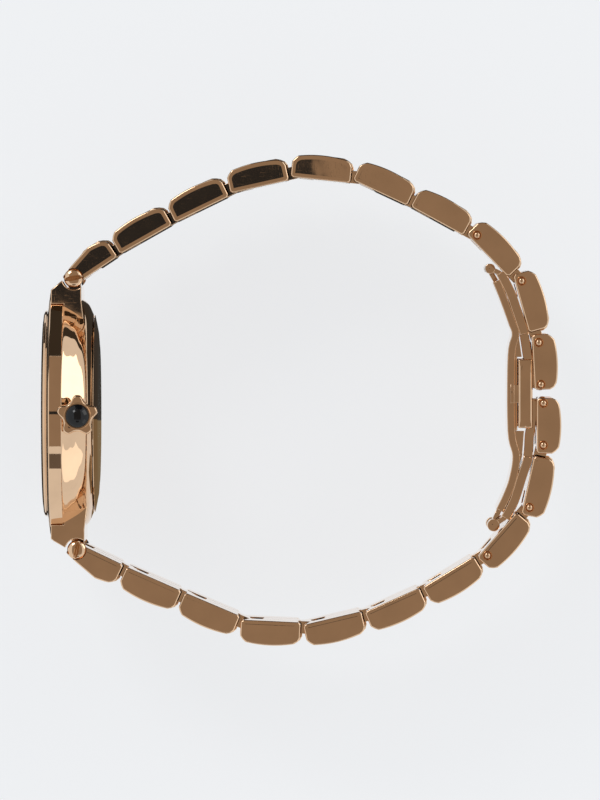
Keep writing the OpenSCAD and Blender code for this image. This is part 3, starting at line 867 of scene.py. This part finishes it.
def link_middle(k, place):
    """The centre piece, its tongue on the next hinge and the bars that join the rows."""
    far = step_of(k)
    last = k == LINKS - 1
    start = KNUCKLE_R + 0.75
    stop = far - KNUCKLE_R - 0.5 if last else far - 1.3
    half = CENTRE_W / 2
    block = brick_outline(start, stop - start, *NOSE)
    shell = Shell(cushion(block, -half, half, rounded(0.14), rounded(0.14)), place)
    if not last:
        tongue = [(stop - 0.6, -KNUCKLE_R + 0.001), (stop - 0.6, KNUCKLE_R - 0.001)]
        tongue += [(far + x, y) for x, y in circle(KNUCKLE_R, KNUCKLE_STEPS)]
        shell.add(cushion(tongue, -half, half, rounded(0.06), rounded(0.06)), place)
    joint = [(JOINT_AT + x, y) for x, y in circle(JOINT_R, 24)]
    for s in (-1, 1):
        low, high = sorted((s * (half - 0.05), s * (half + ROW_GAP + 0.05)))
        shell.add(cushion(joint, low, high, SHARP, SHARP, 24), place)
    return shell


def dish(x, r0, r1, low, high, s):
    """A round recess that widens toward the surface, cut from above or below."""
    return bridged([[(x + a, b, s * z) for a, b in circle(r, 48)]
                    for r, z in ((r0, low), (r1, high), (r1, high + 1))])


def make_link(half, k, sizes):
    """A link's bricks, with recesses where pins or screws show, its middle and its pins."""
    start, turns, side, _ = HALVES[half]
    place = link_place(hinge_of(start, turns, k), turns[k], side)
    node = f"link_{half}_{k + 1:02d}"
    side_z = half_width(k)
    far = step_of(k)
    last = k == LINKS - 1
    spots = [(0, SCREW_DISH)] if k == 0 else []
    if k >= FIRST_SHOWN_PIN:
        spots.append((0, PIN_DISH))
    if last:
        spots.append((far, PIN_DISH))
    cuts = [Shell(dish(x, r0, r1, side_z - deep, side_z, s), place)
            for x, (r0, r1, deep) in spots for s in (-1, 1)]
    gold = gold_finish()
    make_piece(node + "_bricks", link_bricks(k, sizes, place), gold, node, node, cuts=cuts)
    make_piece(node + "_middle", link_middle(k, place), gold, node, node)
    pins = Shell()
    if k > 0:
        pins.add(pin(side_z - (PIN_SUNK if k >= FIRST_SHOWN_PIN else PIN_HIDDEN)), place)
    if last:
        pins.add(pin(side_z - PIN_SUNK), lambda u, v, z: place(u + far, v, z))
    if pins.points:
        make_piece(node + "_pin", pins, gold, node, node)


def make_screws(half):
    """The slotted heads on both sides of a lug, and the shank between them."""
    start, _, _, slot_turn = HALVES[half]
    place = shifted(start)
    side_z = half_width(0)
    cos, sin = math.cos(math.radians(slot_turn)), math.sin(math.radians(slot_turn))
    heads = Shell()
    cuts = []
    for s in (-1, 1):
        points, faces = turned([(SCREW_R * r, side_z + z) for r, z in SCREW_DOME], 64, "Z")
        heads.add(([(x, y, s * z) for x, y, z in points], faces), place)
        rings = [[(u * cos - v * sin, u * sin + v * cos, s * (side_z + z)) for v, z in SLOT_SECTION]
                 for u in (-SLOT_HALF, SLOT_HALF)]
        cuts.append(Shell(bridged(rings), place))
    gold, body, node = gold_finish(), f"link_{half}_01", f"lug_screws_{half}"
    make_piece(f"lug_screw_heads_{half}", heads, gold, body, node, cuts=cuts)
    make_piece(f"lug_screw_shank_{half}", Shell(pin(side_z - 0.6), place), gold, body, node)


class WATCH_OT_bracelet(bpy.types.Operator):
    """Make both bracelet halves: three rows of links, their pins and the lug screws"""
    bl_idname = "watch.bracelet"
    bl_label = "Bracelet links"

    def execute(self, context):
        for half in HALVES:
            for k in range(LINKS):
                make_link(half, k, context.scene.watch_bracelet)
            make_screws(half)
        return {"FINISHED"}


# Case


def case_body(edge):
    """The band and the bowl of the case, hollow for the movement."""
    r = CASE_R
    bowl = smooth_path([
        (r - 0.02, BOWL_Y - 0.12), (r - 0.2, BOWL_Y + 0.12), (r - 0.7, BOWL_Y + 1.1),
        (r - 1.25, BOWL_Y + 2.1), (r - 2.05, BOWL_Y + 3.1), (BACK_R + 0.62, BACK_Y - 0.3)], 6)
    rim = eased([(CRYSTAL_R + 1.2, BAND_Y), (r - 0.15, BAND_Y), (r, BAND_Y + 0.15)], edge, 4, False)
    foot = eased([bowl[-1], (BACK_R + 0.25, BACK_Y - 0.15), (BORE_R, BACK_Y - 0.15)], edge, 4, False)
    inside = [(BORE_R, BAND_Y + 1.1), (CRYSTAL_R + 1.2, BAND_Y + 1.1)]
    return turned(rim + bowl + foot[1:] + inside, CASE_STEPS)


def shoulder_outline(x, y):
    """Side view of the shoulder with its lug at (x, y), hollowed where the first link swings."""
    swing = math.hypot(PIN_TO_END, PIN_TO_INNER) + 0.1
    out = [
        (CASE_R - 2, BAND_Y + 0.15), (CASE_R - 0.2, BAND_Y + 0.15), (CASE_R + 0.1, BAND_Y + 0.5),
        (x - 0.3, y - 1.52),
    ]
    for i in range(1, 11):
        t = math.radians(260 - 122 * i / 10)
        out.append((x + swing * math.cos(t), y + swing * math.sin(t)))
    out += [(CASE_R - 1.4, y + 1), (BORE_R + 0.1, y + 1.4), (BORE_R + 0.1, BOWL_Y), (CASE_R - 2, BOWL_Y)]
    return out


def shoulder(lug, side):
    """One shoulder of the case, and the tongue that holds the first link."""
    def place(x, y, z):
        return flat_place(side * x, y, z)
    x, y = abs(lug[0]), lug[1]
    half = CENTRE_W / 2
    block = Shell(prism(shoulder_outline(x, y), -SHOULDER_HALF, SHOULDER_HALF, 0.14), place)
    tongue = [(BORE_R, y - KNUCKLE_R + 0.001), (BORE_R, y + KNUCKLE_R - 0.001)]
    tongue += [(x + a, y + b) for a, b in circle(KNUCKLE_R, KNUCKLE_STEPS)]
    block.add(cushion(tongue, -half, half, rounded(0.08), rounded(0.08)), place)
    return block


def bezel(edge):
    """The ring round the crystal."""
    return turned(eased([
        (CRYSTAL_R + 0.2, 0.1), (CRYSTAL_R + 0.6, 0.1), (CRYSTAL_R + 0.92, 0.25),
        (CRYSTAL_R + 1.0, 0.5), (CASE_R - 1.2, 0.8), (CASE_R - 0.1, 0.98),
        (CRYSTAL_R + 0.2, 0.98)], edge, 5), CASE_STEPS)


def crystal():
    """The flat crystal. Rings across both its faces keep their shading even."""
    radii = (0, 1.5, 3.5, 6, 8.5, 10.5)
    rim = eased([(11, 0), (CRYSTAL_R - 0.2, 0), (CRYSTAL_R, 0.15), (CRYSTAL_R, CRYSTAL_T),
                 (11, CRYSTAL_T)], 0.08, 4, False)
    return turned([(r, 0) for r in radii] + rim[1:] + [(r, CRYSTAL_T) for r in radii[::-1]], 96)


def case_back(edge):
    """The case back: a wide lip under the bowl's end, a slope and the flat on the wrist."""
    top = CASE_T - BACK_LOWERED
    lip = BACK_R + 0.35
    slope = eased([
        (lip, BACK_Y - 0.1), (lip, BACK_Y), (BACK_R - 0.9, top - 0.3), (BACK_R - 2, top - 0.1),
        (BACK_FLAT_R, top), (BACK_FLAT_R - 3, top)], edge, 5, False)
    under = [(0, BACK_Y - 0.1), (lip, BACK_Y - 0.1)]
    return turned(under + slope[1:] + [(BACK_FLAT_R - 4, top), (0, top)], CASE_STEPS)


class WATCH_OT_case(bpy.types.Operator):
    """Make the case body, its shoulders, the bezel, the crystal and the case back"""
    bl_idname = "watch.case"
    bl_label = "Case"

    def execute(self, context):
        edge = mm(context.scene.watch_case.edge)
        gold = gold_finish()
        glass = material("crystal_clear", sapphire)
        make_piece("case_body", Shell(case_body(edge)), gold, "case", "mid_case", crease=40)
        for half, lug, side in (("12", LUG_12, -1), ("06", LUG_6, 1)):
            block = shoulder(lug, side)
            make_piece(f"case_shoulder_{half}", block, gold, "case", "mid_case", crease=40)
        make_piece("bezel_ring", Shell(bezel(edge)), gold, "case", "bezel", crease=40)
        make_piece("crystal_disc", Shell(crystal()), glass, "case", "crystal", 40)
        make_piece("case_back_disc", Shell(case_back(edge)), gold, "case", "case_back", crease=40)
        return {"FINISHED"}


# Crown


def star_reach():
    """Reach of the crown's five-pointed outline at each angle, with softened points."""
    hollow_at = CROWN_R - HOLLOW_DEPTH + HOLLOW_R
    sharp = []
    for j in range(STAR_STEPS):
        turn = 2 * math.pi * j / STAR_STEPS
        reach = CROWN_R
        for i in range(5):
            off = (turn - math.radians(FIRST_HOLLOW + 72 * i) + math.pi) % (2 * math.pi) - math.pi
            across = hollow_at * math.sin(off)
            if abs(off) < math.pi / 2 and abs(across) < HOLLOW_R:
                edge = hollow_at * math.cos(off) - math.sqrt(HOLLOW_R ** 2 - across ** 2)
                reach = min(reach, edge)
        sharp.append(reach)
    weights = {i: 1 - abs(i) / SOFT_STEPS for i in range(1 - SOFT_STEPS, SOFT_STEPS)}
    total = sum(weights.values())
    soft = []
    for j in range(STAR_STEPS):
        mean = sum(sharp[(j + i) % STAR_STEPS] * weight for i, weight in weights.items()) / total
        soft.append(min(mean, CROWN_R))
    return soft


def star_crown(edge):
    """The crown in rings, from the stone's seat out over the bevel and down to the foot."""
    outline = star_reach()

    def level(reach, z):
        turns = [2 * math.pi * j / STAR_STEPS for j in range(STAR_STEPS)]
        return [(r * math.cos(t), r * math.sin(t), z) for r, t in zip(reach, turns)]

    def even(r, z):
        return level([r] * STAR_STEPS, z)

    def star(inset, z):
        return level([r - inset for r in outline], z)
    top = CROWN_LEN
    seat = STONE_R + 0.05
    lip = [min(seat + 0.14, r - edge - 0.05) for r in outline]
    rings = [
        even(0.3, top - STONE_SEAT), even(seat, top - STONE_SEAT), even(seat, top - 0.1),
        even(seat + 0.04, top - 0.02), level(lip, top - 0.03),
        level([r + 0.03 for r in lip], top - 0.07),
    ]
    rings += [star(edge * inset, top - fall * edge / BEVEL_SIZE) for inset, fall in BEVEL_STEPS]
    rings += [star(inset, z) for inset, z in ((0, 0.2), (0.05, 0.06), (0.15, 0))]
    return bridged(rings + [even(0.46, 0)])


def domed_stone():
    """The crown's stone: a low upright side under a dome."""
    ball = (STONE_R ** 2 + STONE_DOME ** 2) / (2 * STONE_DOME)
    lowest = math.asin(STONE_R / ball)
    top = STONE_SIDE + STONE_DOME
    profile = [(0, 0), (STONE_R - 0.05, 0), (STONE_R, 0.05), (STONE_R, STONE_SIDE)]
    for i in range(1, 16):
        t = lowest * (1 - i / 16)
        profile.append((ball * math.sin(t), top - ball + ball * math.cos(t)))
    return turned(profile + [(0, top)], 96, "Z")


class WATCH_OT_crown(bpy.types.Operator):
    """Make the five-pointed crown and its black cabochon"""
    bl_idname = "watch.crown"
    bl_label = "Crown"

    def execute(self, context):
        star = Shell(star_crown(mm(context.scene.watch_case.crown_edge)), crown_place(0))
        make_piece("crown_star", star, gold_finish(), "crown", "crown", crease=38)
        stone = Shell(domed_stone(), crown_place(CROWN_LEN - STONE_SEAT))
        black = material("black_cabochon", cabochon)
        make_piece("crown_cabochon", stone, black, "crown", "crown_stone", 60)
        return {"FINISHED"}


# Dial and hands


def dial_disc():
    """The dial, with a hole for the hands' arbors."""
    face = [(r, DIAL_Y) for r in (1, 3, 5, 7, 9, DIAL_R)]
    return turned(face + [(DIAL_R, DIAL_Y + DIAL_T), (1, DIAL_Y + DIAL_T)])


def dial_rim():
    """The sloping ring from the crystal down to the dial."""
    top = CRYSTAL_T + 0.02
    return turned([
        (CRYSTAL_R - 0.9, top), (CRYSTAL_R, top), (CRYSTAL_R + 1.15, BAND_Y + 0.14),
        (CRYSTAL_R + 1.15, BAND_Y + 1.05), (BORE_R + 0.05, BAND_Y + 1.05),
        (DIAL_R - 0.35, DIAL_Y - 0.05), (DIAL_R - 0.45, DIAL_Y - 0.3)])


def hour_markers():
    """A bar at each hour, and two at 12."""
    shell = Shell()
    for hour in range(1, 13):
        for across in ((-0.45, 0.45) if hour == 12 else (0,)):
            outline = rectangle(8.4, across - 0.2, 10.2, across + 0.2)
            shell.add(cushion(outline, 0, 0.15, SHARP, rounded(0.07), 8), dial_place(30 * hour, DIAL_Y))
    return shell


def minute_marks(count):
    """Thin marks round the dial, with every fifth one wider."""
    shell = Shell()
    for i in range(count):
        wide = 0.06 if i % 5 else 0.1
        outline = rectangle(10.35, -wide, 10.7, wide)
        shell.add(prism(outline, 0, 0.02, 0), dial_place(360 * i / count, DIAL_Y))
    return shell


def blade(length):
    """A hand's blade: two sloping faces that meet in a ridge along its middle."""
    tail, wide = -1.61, length * 0.7
    outline = [(tail, -0.21), (wide, -0.31), (length, -0.06), (length, 0.06), (wide, 0.31), (tail, 0.21)]
    n = len(outline)
    points = [(x, y, z) for z in (0, HAND_T * 0.35) for x, y in outline]
    points += [(tail, 0, HAND_T), (wide, 0, HAND_T), (length, 0, HAND_T * 0.6)]
    back, middle, tip = range(2 * n, 2 * n + 3)
    faces = [tuple(range(n))[::-1]]
    for i in range(n):
        j = (i + 1) % n
        faces.append((i, j, n + j, n + i))
    faces += [(n, n + 1, middle, back), (n + 1, n + 2, tip, middle), (n + 2, n + 3, tip),
              (n + 3, n + 4, middle, tip), (n + 4, n + 5, back, middle), (n + 5, n, back)]
    return points, faces


def make_hand(node, turn, length, hub, near, finish):
    """A hand on its CAD node, which shows as the arbor. Only the minute hand has a cap."""
    place = dial_place(turn, near + HAND_T - HAND_LIFT)
    shell = Shell(blade(length), place)
    shell.add(cushion(circle(hub + 0.01, 48), 0, HAND_T + 0.01, SHARP, rounded(0.05), 48), place)
    if node == "minute_hand":
        shell.add(cushion(circle(0.34, 32), 0.05, HAND_T + 0.07, SHARP, rounded(0.05), 32), place)
    make_piece(node + "_blade", shell, finish, node, None, 20)
    finish_node(node, material("arbor_brass", metal, (0.72, 0.55, 0.28), 0.2, 0.35))


class WATCH_OT_dial(bpy.types.Operator):
    """Make the dial, its rim, the hour markers, the minute marks and the hands"""
    bl_idname = "watch.dial"
    bl_label = "Dial and hands"

    def execute(self, context):
        look = context.scene.watch_finish
        silver = material("dial_sunray", sunray)
        satin = material("rim_satin", metal, tuple(look.dial), 0.35, 0.5, bump=0.05, metallic=0.6)
        ink = material("mark_ink", metal, (0.05, 0.045, 0.045), 0.4, 0.5, metallic=0)
        polish = material("hand_polish", metal, tuple(look.hands), 0.1, 0.2, (900, 900, 9000), 0.06)
        make_piece("dial_disc", Shell(dial_disc()), silver, "case", "dial", 30)
        make_piece("dial_rim", Shell(dial_rim()), satin, "case", "dial_ring", 30)
        make_piece("hour_markers", hour_markers(), gold_finish(), "case", "dial_markers", crease=25)
        marks = minute_marks(look.minute_marks)
        make_piece("minute_marks", marks, ink, "case", None, 25)
        make_hand("minute_hand", 60, 9.0, 0.9, 1.4, polish)
        make_hand("hour_hand", -60, 6.0, 0.95, 1.68, polish)
        return {"FINISHED"}


# Clasp


def clasp_base():
    """The bowed blade of the base, its necks on both hinges, its wedges and its catch block."""
    half = BLADE_W / 2
    base = Shell(prism(ribbon(smooth_path(BASE_PATH), BLADE_SHOWN), -half, half, 0.12))
    for hinge, inner, end, wedge in (
            (HINGE_12, beside(HINGE_12, 0.75, 0.3), BASE_PATH[0], WEDGE_12),
            (HINGE_6, beside(HINGE_6, -0.8, 0.3), BASE_PATH[-1], WEDGE_6)):
        base.add(bar(HINGE_KNUCKLE, -NECK_HALF, NECK_HALF), shifted(hinge))
        neck = ribbon([hinge, inner, end], BLADE_T)
        base.add(prism(neck, NECK_PLAY - NECK_HALF, NECK_HALF - NECK_PLAY, 0.05))
        base.add(prism(wedge, -WEDGE_HALF, WEDGE_HALF, 0.05), shifted(hinge))
    x0, y0 = MID_TIP[0] - BLOCK_LEN / 2, MID_TIP[1] - CLASP_BACK - BLADE_T / 2
    block = eased(rectangle(x0, y0, x0 + BLOCK_LEN, y0 + BLOCK_DEPTH), 0.18, 4)
    soft = (0.12, 0.25, 0.03)
    base.add(cushion(block, -BLOCK_HALF, BLOCK_HALF, soft, soft))
    return base


def clasp_arm(path, tip, hub, knuckle):
    """An arm: a wide blade that narrows near its tip, a knuckle there and two at its hub."""
    blade_half, tip_half, middle_half = BLADE_W / 2, TIP_W / 2, CENTRE_W / 2
    line = smooth_path([(x, y + ARM_LIFT) for x, y in path])
    wide = line[:(len(path) - 4) * PATH_STEPS + 1]
    slim = line[(len(path) - 5) * PATH_STEPS:]
    shell = Shell(prism(ribbon(wide, ARM_SHOWN), -blade_half, blade_half, 0.12))
    shell.add(prism(ribbon(slim, ARM_SHOWN), -tip_half, tip_half, 0.1))
    neck = ribbon([beside(tip, 0, -1.5), tip], 1.1)
    shell.add(prism(neck, NECK_PLAY - middle_half, middle_half - NECK_PLAY, 0.08))
    shell.add(bar(KNUCKLE_R, -middle_half, middle_half), shifted(tip))
    root = ribbon([hub, path[0], path[1]], BLADE_T)
    for s in (-1, 1):
        low, high = sorted((s * (NECK_HALF + 0.15), s * blade_half))
        shell.add(bar(knuckle, low, high), shifted(hub))
        low, high = sorted((s * (NECK_HALF + 0.15 + NECK_PLAY), s * (blade_half - 0.04)))
        shell.add(prism(root, low, high, 0.06))
    return shell


def push_button(s):
    """The near or the far push button: its bar, and the stem that slides in the base."""
    x = MID_TIP[0]
    y0 = MID_TIP[1] - CLASP_BACK - 0.15
    bar_y = MID_TIP[1] - CLASP_BACK + BLOCK_DEPTH - BLADE_T / 2 + 0.1
    half = BUTTON_LEN / 2

    def place(u, v, z):
        return flat_place(u, v, s * z)
    face = eased(rectangle(x - half, bar_y, x + half, bar_y + BUTTON_H), 0.14, 4)
    shell = Shell(cushion(face, BUTTON_IN, BUTTON_OUT, rounded(0.12), (0.2, 0.22, 0.04)), place)
    for width, z0, z1, y1 in ((1.2, 3, BUTTON_OUT - 0.05, y0 + 0.5),
                              (1.16, BUTTON_OUT - 0.55, BUTTON_OUT - 0.08, bar_y + 0.1)):
        shell.add(prism(rectangle(x - width, y0, x + width, y1), z0, z1, 0.06), place)
    return shell


class WATCH_OT_clasp(bpy.types.Operator):
    """Make the folding clasp: its base, both arms, the pins and the push buttons"""
    bl_idname = "watch.clasp"
    bl_label = "Clasp"

    def execute(self, context):
        gold = gold_finish()
        make_piece("clasp_base_blade", clasp_base(), gold, "clasp_base", "clasp_base")
        pins = Shell()
        for hinge in (HINGE_12, HINGE_6):
            pins.add(pin(BLADE_W / 2 - 0.02, 0.3, 0.1), shifted(hinge))
        steel = material("pin_steel", metal, (0.62, 0.6, 0.57), 0.15, 0.3)
        make_piece("clasp_hinge_pins", pins, steel, "clasp_base", "clasp_pins")
        for node, path, tip, hub, knuckle in (
                ("clasp_arm_12", ARM_12_PATH, TIP_12, HINGE_12, HINGE_KNUCKLE),
                ("clasp_arm_06", ARM_6_PATH, TIP_6, HINGE_6, PLAY_KNUCKLE)):
            make_piece(node + "_blade", clasp_arm(path, tip, hub, knuckle), gold, node, node)
        for node, s in (("push_button_near", 1), ("push_button_far", -1)):
            make_piece(node + "_bar", push_button(s), gold, node, node)
        return {"FINISHED"}


# Movement


class WATCH_OT_movement(bpy.types.Operator):
    """Finish the quartz movement, the seals and the small parts of the stem"""
    bl_idname = "watch.movement"
    bl_label = "Movement finishes"

    def execute(self, context):
        brass = material("gilt_brass", metal, (0.72, 0.53, 0.25), 0.22, 0.38, (400, 9000, 9000), 0.12)
        wheel = material("wheel_brass", metal, (0.76, 0.57, 0.27), 0.14, 0.26, (3000,) * 3, 0.1)
        steel = material("bare_steel", metal, (0.6, 0.6, 0.61), 0.18, 0.3, (9000, 500, 9000), 0.1)
        can = material("battery_can", metal, (0.66, 0.66, 0.66), 0.25, 0.4, (1500,) * 3, 0.15)
        sinter = material("magnet_sinter", metal, (0.06, 0.06, 0.07), 0.45, 0.65, (6000,) * 3, 0.4, 0.6)
        plastic = material("spacer_plastic", moulded, (0.72, 0.71, 0.68))
        for finish, nodes in (
                (brass, ("movement_plate", "train_bridge", "battery_clamp")),
                (wheel, ("minute_wheel", "setting_wheel", "relay_wheel", "third_wheel")),
                (steel, ("stator", "stem", "setting_lever")),
                (can, ("battery",)),
                (sinter, ("rotor",)),
                (plastic, ("movement_ring",)),
                (material("circuit_mask", circuit), ("circuit_board",)),
                (material("coil_winding", wound_copper), ("coil",)),
                (material("gasket_rubber", rubber), ("crystal_gasket", "back_gasket")),
                (gold_finish(), ("crown_tube",))):
            for name in nodes:
                finish_node(name, finish)
        return {"FINISHED"}


# Studio


def level_sheet(x0, x1, y0, y1, z):
    """Corners of a level sheet."""
    return [(x, y, z) for x, y in rectangle(x0, y0, x1, y1)]


def lay_sheets(name, sheets, finish):
    """Flat sheets that belong to the studio."""
    mesh = bpy.data.meshes.new(name)
    mesh.from_pydata([corner for sheet in sheets for corner in sheet], [],
                     [tuple(range(4 * i, 4 * i + 4)) for i in range(len(sheets))])
    mesh.materials.append(finish)
    board = in_scene(name, mesh)
    return board


def faded(g, colour, far, soft, x0, x1, y0, y1):
    """A colour that turns into the colour far over a soft width at the sides of a rectangle."""
    place = g.add("SeparateXYZ", {"Vector": g.place()}).outputs
    inside = 1.0
    for axis, low, high in (("X", x0, x1), ("Y", y0, y1)):
        for ramp in ((low, low + soft, 0, 1), (high - soft, high, 1, 0)):
            step = g.span(place[axis], *ramp, interpolation_type="SMOOTHSTEP")
            inside = g.maths("MULTIPLY", inside, step)
    return g.blend(inside, far, colour)


def card(name, colour, *sheets, fade=()):
    """Flat cards of one colour that only mirrors and glass see. Most stand in for lit paper as it looks
    in a mirror, and some are painted shade and painted reflection.
    With fade, as faded takes it, the colour changes toward the sides."""
    paper = bpy.data.materials.new(name)
    g = Graph(paper)
    g.nodes.clear()
    shown = faded(g, colour, *fade) if fade else (*colour, 1)
    shine = g.add("Emission", {"Color": shown})
    g.add("OutputMaterial", {"Surface": shine.outputs[0]})
    board = lay_sheets(name, sheets, paper)
    board.visible_camera = False
    board.visible_diffuse = False
    board.visible_shadow = False
    board.visible_transmission = False


def floor_paper(r, colour):
    """Matt paper that the camera and mirrors see as pale as the photo's background."""
    r.set(Base_Color=(*colour, 1), Roughness=0.9, Specular_IOR_Level=0.1)
    shine = r.add("Emission", {"Color": (*colour, 1), "Strength": FLOOR_GLOW})
    share = r.maths("MULTIPLY", r.seen(), FLOOR_SHARE)
    mix = r.add("MixShader", {0: share, 1: r.shader.outputs[0], 2: shine.outputs[0]})
    r.put(r.nodes["Material Output"].inputs["Surface"], mix.outputs[0])


def mirrored(spot, look):
    """The place at the shade's height that a level side face shows at this pixel of the photo."""
    x = (spot[1] - PHOTO_CASE[1]) * PHOTO_SCALE + CASE_X
    y = (spot[0] - PHOTO_CASE[0]) * PHOTO_SCALE + CASE_Y
    rise = (SHADE_Z - MIRROR_Z) / (look.camera_height - MIRROR_Z)
    return x * MM + (x * MM - EYE_X) * rise, y * MM + y * MM * rise


def soft_lamp(name, place, size, level, colour=(1, 1, 1)):
    """A square softbox aimed at the watch. level is how bright its face looks."""
    data = bpy.data.lights.new(name, "AREA")
    data.shape = "RECTANGLE"
    data.size, data.size_y = size
    data.energy = level * math.pi * size[0] * size[1]
    data.color = colour
    lamp = in_scene(name, data)
    lamp.location = place
    aim = Vector(LAMP_AIM) - Vector(place)
    lamp.rotation_mode = "QUATERNION"
    lamp.rotation_quaternion = aim.to_track_quat("-Z", "Y")


class WATCH_OT_studio(bpy.types.Operator):
    """Set the floor, the cards, the lamps and the camera of the photo studio"""
    bl_idname = "watch.studio"
    bl_label = "Studio"

    def execute(self, context):
        look = context.scene.watch_studio
        sheet = level_sheet(-FLOOR_HALF, FLOOR_HALF, -FLOOR_HALF, FLOOR_HALF, FLOOR_Z)
        lay_sheets("floor", [sheet], material("floor_paper", floor_paper, tuple(look.floor)))
        self.room(look)
        self.cards(look)
        level = look.light
        soft_lamp("window_back_left", (-0.42, 0.80, 0.42), (0.62, 0.5), 1.55 * level, DAYLIGHT)
        soft_lamp("window_front_left", (-0.62, -0.45, 0.72), (0.28, 0.28), 6.0 * level)
        soft_lamp("window_back_right", (0.62, 0.72, 0.35), (0.5, 0.4), 0.52 * level, DAYLIGHT)
        self.camera(look)
        context.scene.view_settings.view_transform = "Standard"
        return {"FINISHED"}

    def room(self, look):
        """Light from all round, behind a plain background of the floor's colour."""
        world = bpy.context.scene.world or bpy.data.worlds.new("room")
        bpy.context.scene.world = world
        g = Graph(world)
        g.nodes.clear()
        light = g.add("Background", {"Color": ROOM_COLOUR, "Strength": ROOM_LIGHT * look.light})
        plain = g.add("Background", {"Color": (*look.floor, 1), "Strength": 1.0})
        mix = g.add("MixShader", {0: g.seen(), 1: light.outputs[0], 2: plain.outputs[0]})
        g.add("OutputWorld", {"Surface": mix.outputs[0]})

    def cards(self, look):
        """What the polished faces mirror."""
        ceiling = tuple(look.card)
        card("ceiling_card", ceiling, level_sheet(-1.9, 0.75, -0.7, 0.7, CEILING_Z))
        card("side_card", (0.153, 0.133, 0.117), level_sheet(0.98, 1.64, -0.35, 0.35, CEILING_Z))
        (x0, y0), (x1, y1) = mirrored(SHADE_FROM, look), mirrored(SHADE_TO, look)
        card("lens_shade", (0.028, 0.03, 0.034), level_sheet(x0, x1, y0, y1, SHADE_Z),
             fade=(ceiling, SHADE_SOFT, x0, x1, y0, y1))
        wall = [(CLOTH_X, y, z) for y, z in rectangle(-0.5, 0.0, 1.2, CLOTH_TOP)]
        card("dark_cloth_and_painted_shade", (0.045, 0.04, 0.034), wall,
             level_sheet(CLOTH_X, -0.036, -0.2, 0.5, 0.0004),
             level_sheet(-0.022, 0.026, -0.085, -0.036, 0.0005),
             # The last sheet lies inside the bracelet's loop under the watch: painted shade, a dark sheet
             # that mirrors see where there is only shaded floor.
             level_sheet(-0.027, 0.003, -0.0262, 0.020, 0.0006))
        # Painted reflection: a warm brown sheet inside the bracelet's loop, seen only in mirrors, stands
        # in for light the gold throws back onto itself.
        card("painted_gold_reflection", (0.20, 0.14, 0.075), level_sheet(0.003, 0.017, -0.0262, -0.002, 0.0006))

    def camera(self, look):
        """The camera over the watch, with the photo's right toward the clasp."""
        data = bpy.data.cameras.new("photo_camera")
        camera = in_scene("photo_camera", data)
        eye = Vector((EYE_X, 0.0, look.camera_height))
        back = eye - Vector(AIM)
        data.sensor_width = SENSOR
        data.lens = SENSOR * back.length / look.view_height
        data.clip_start, data.clip_end = 0.05, 20
        back.normalize()
        right = Vector((0, 1, 0))
        right = (right - back * right.dot(back)).normalized()
        turn = Matrix((right, back.cross(right), back)).transposed()
        camera.matrix_world = Matrix.Translation(eye) @ turn.to_4x4()
        bpy.context.scene.camera = camera


# Panel and registering


STEPS = (
    WATCH_OT_bracelet, WATCH_OT_case, WATCH_OT_crown, WATCH_OT_dial, WATCH_OT_clasp,
    WATCH_OT_movement, WATCH_OT_studio,
)
GROUPS = {
    "watch_finish": ("Finish", WatchFinish), "watch_bracelet": ("Bracelet", BraceletSizes),
    "watch_case": ("Case", CaseSizes), "watch_studio": ("Studio", StudioSizes),
}


class WATCH_PT_sidebar(bpy.types.Panel):
    """Lists the watch's pieces and settings"""
    bl_idname = "WATCH_PT_sidebar"
    bl_label = "Bracelet watch"
    bl_space_type = "VIEW_3D"
    bl_region_type = "UI"
    bl_category = "Watch"

    def draw(self, context):
        for place, (heading, group) in GROUPS.items():
            box = self.layout.box()
            box.label(text=heading)
            for name in group.__annotations__:
                box.prop(getattr(context.scene, place), name)
        for step in STEPS:
            self.layout.operator(step.bl_idname)


def register():
    for place, (_, group) in GROUPS.items():
        bpy.utils.register_class(group)
        setattr(bpy.types.Scene, place, PointerProperty(type=group))
    for step in (*STEPS, WATCH_PT_sidebar):
        bpy.utils.register_class(step)


def unregister():
    for step in (WATCH_PT_sidebar, *reversed(STEPS)):
        bpy.utils.unregister_class(step)
    for place, (_, group) in reversed(GROUPS.items()):
        delattr(bpy.types.Scene, place)
        bpy.utils.unregister_class(group)


def main():
    """Makes every piece and the studio."""
    register()
    bpy.ops.watch.bracelet()
    bpy.ops.watch.case()
    bpy.ops.watch.crown()
    bpy.ops.watch.dial()
    bpy.ops.watch.clasp()
    bpy.ops.watch.movement()
    bpy.ops.watch.studio()


if __name__ == "__main__":
    main()
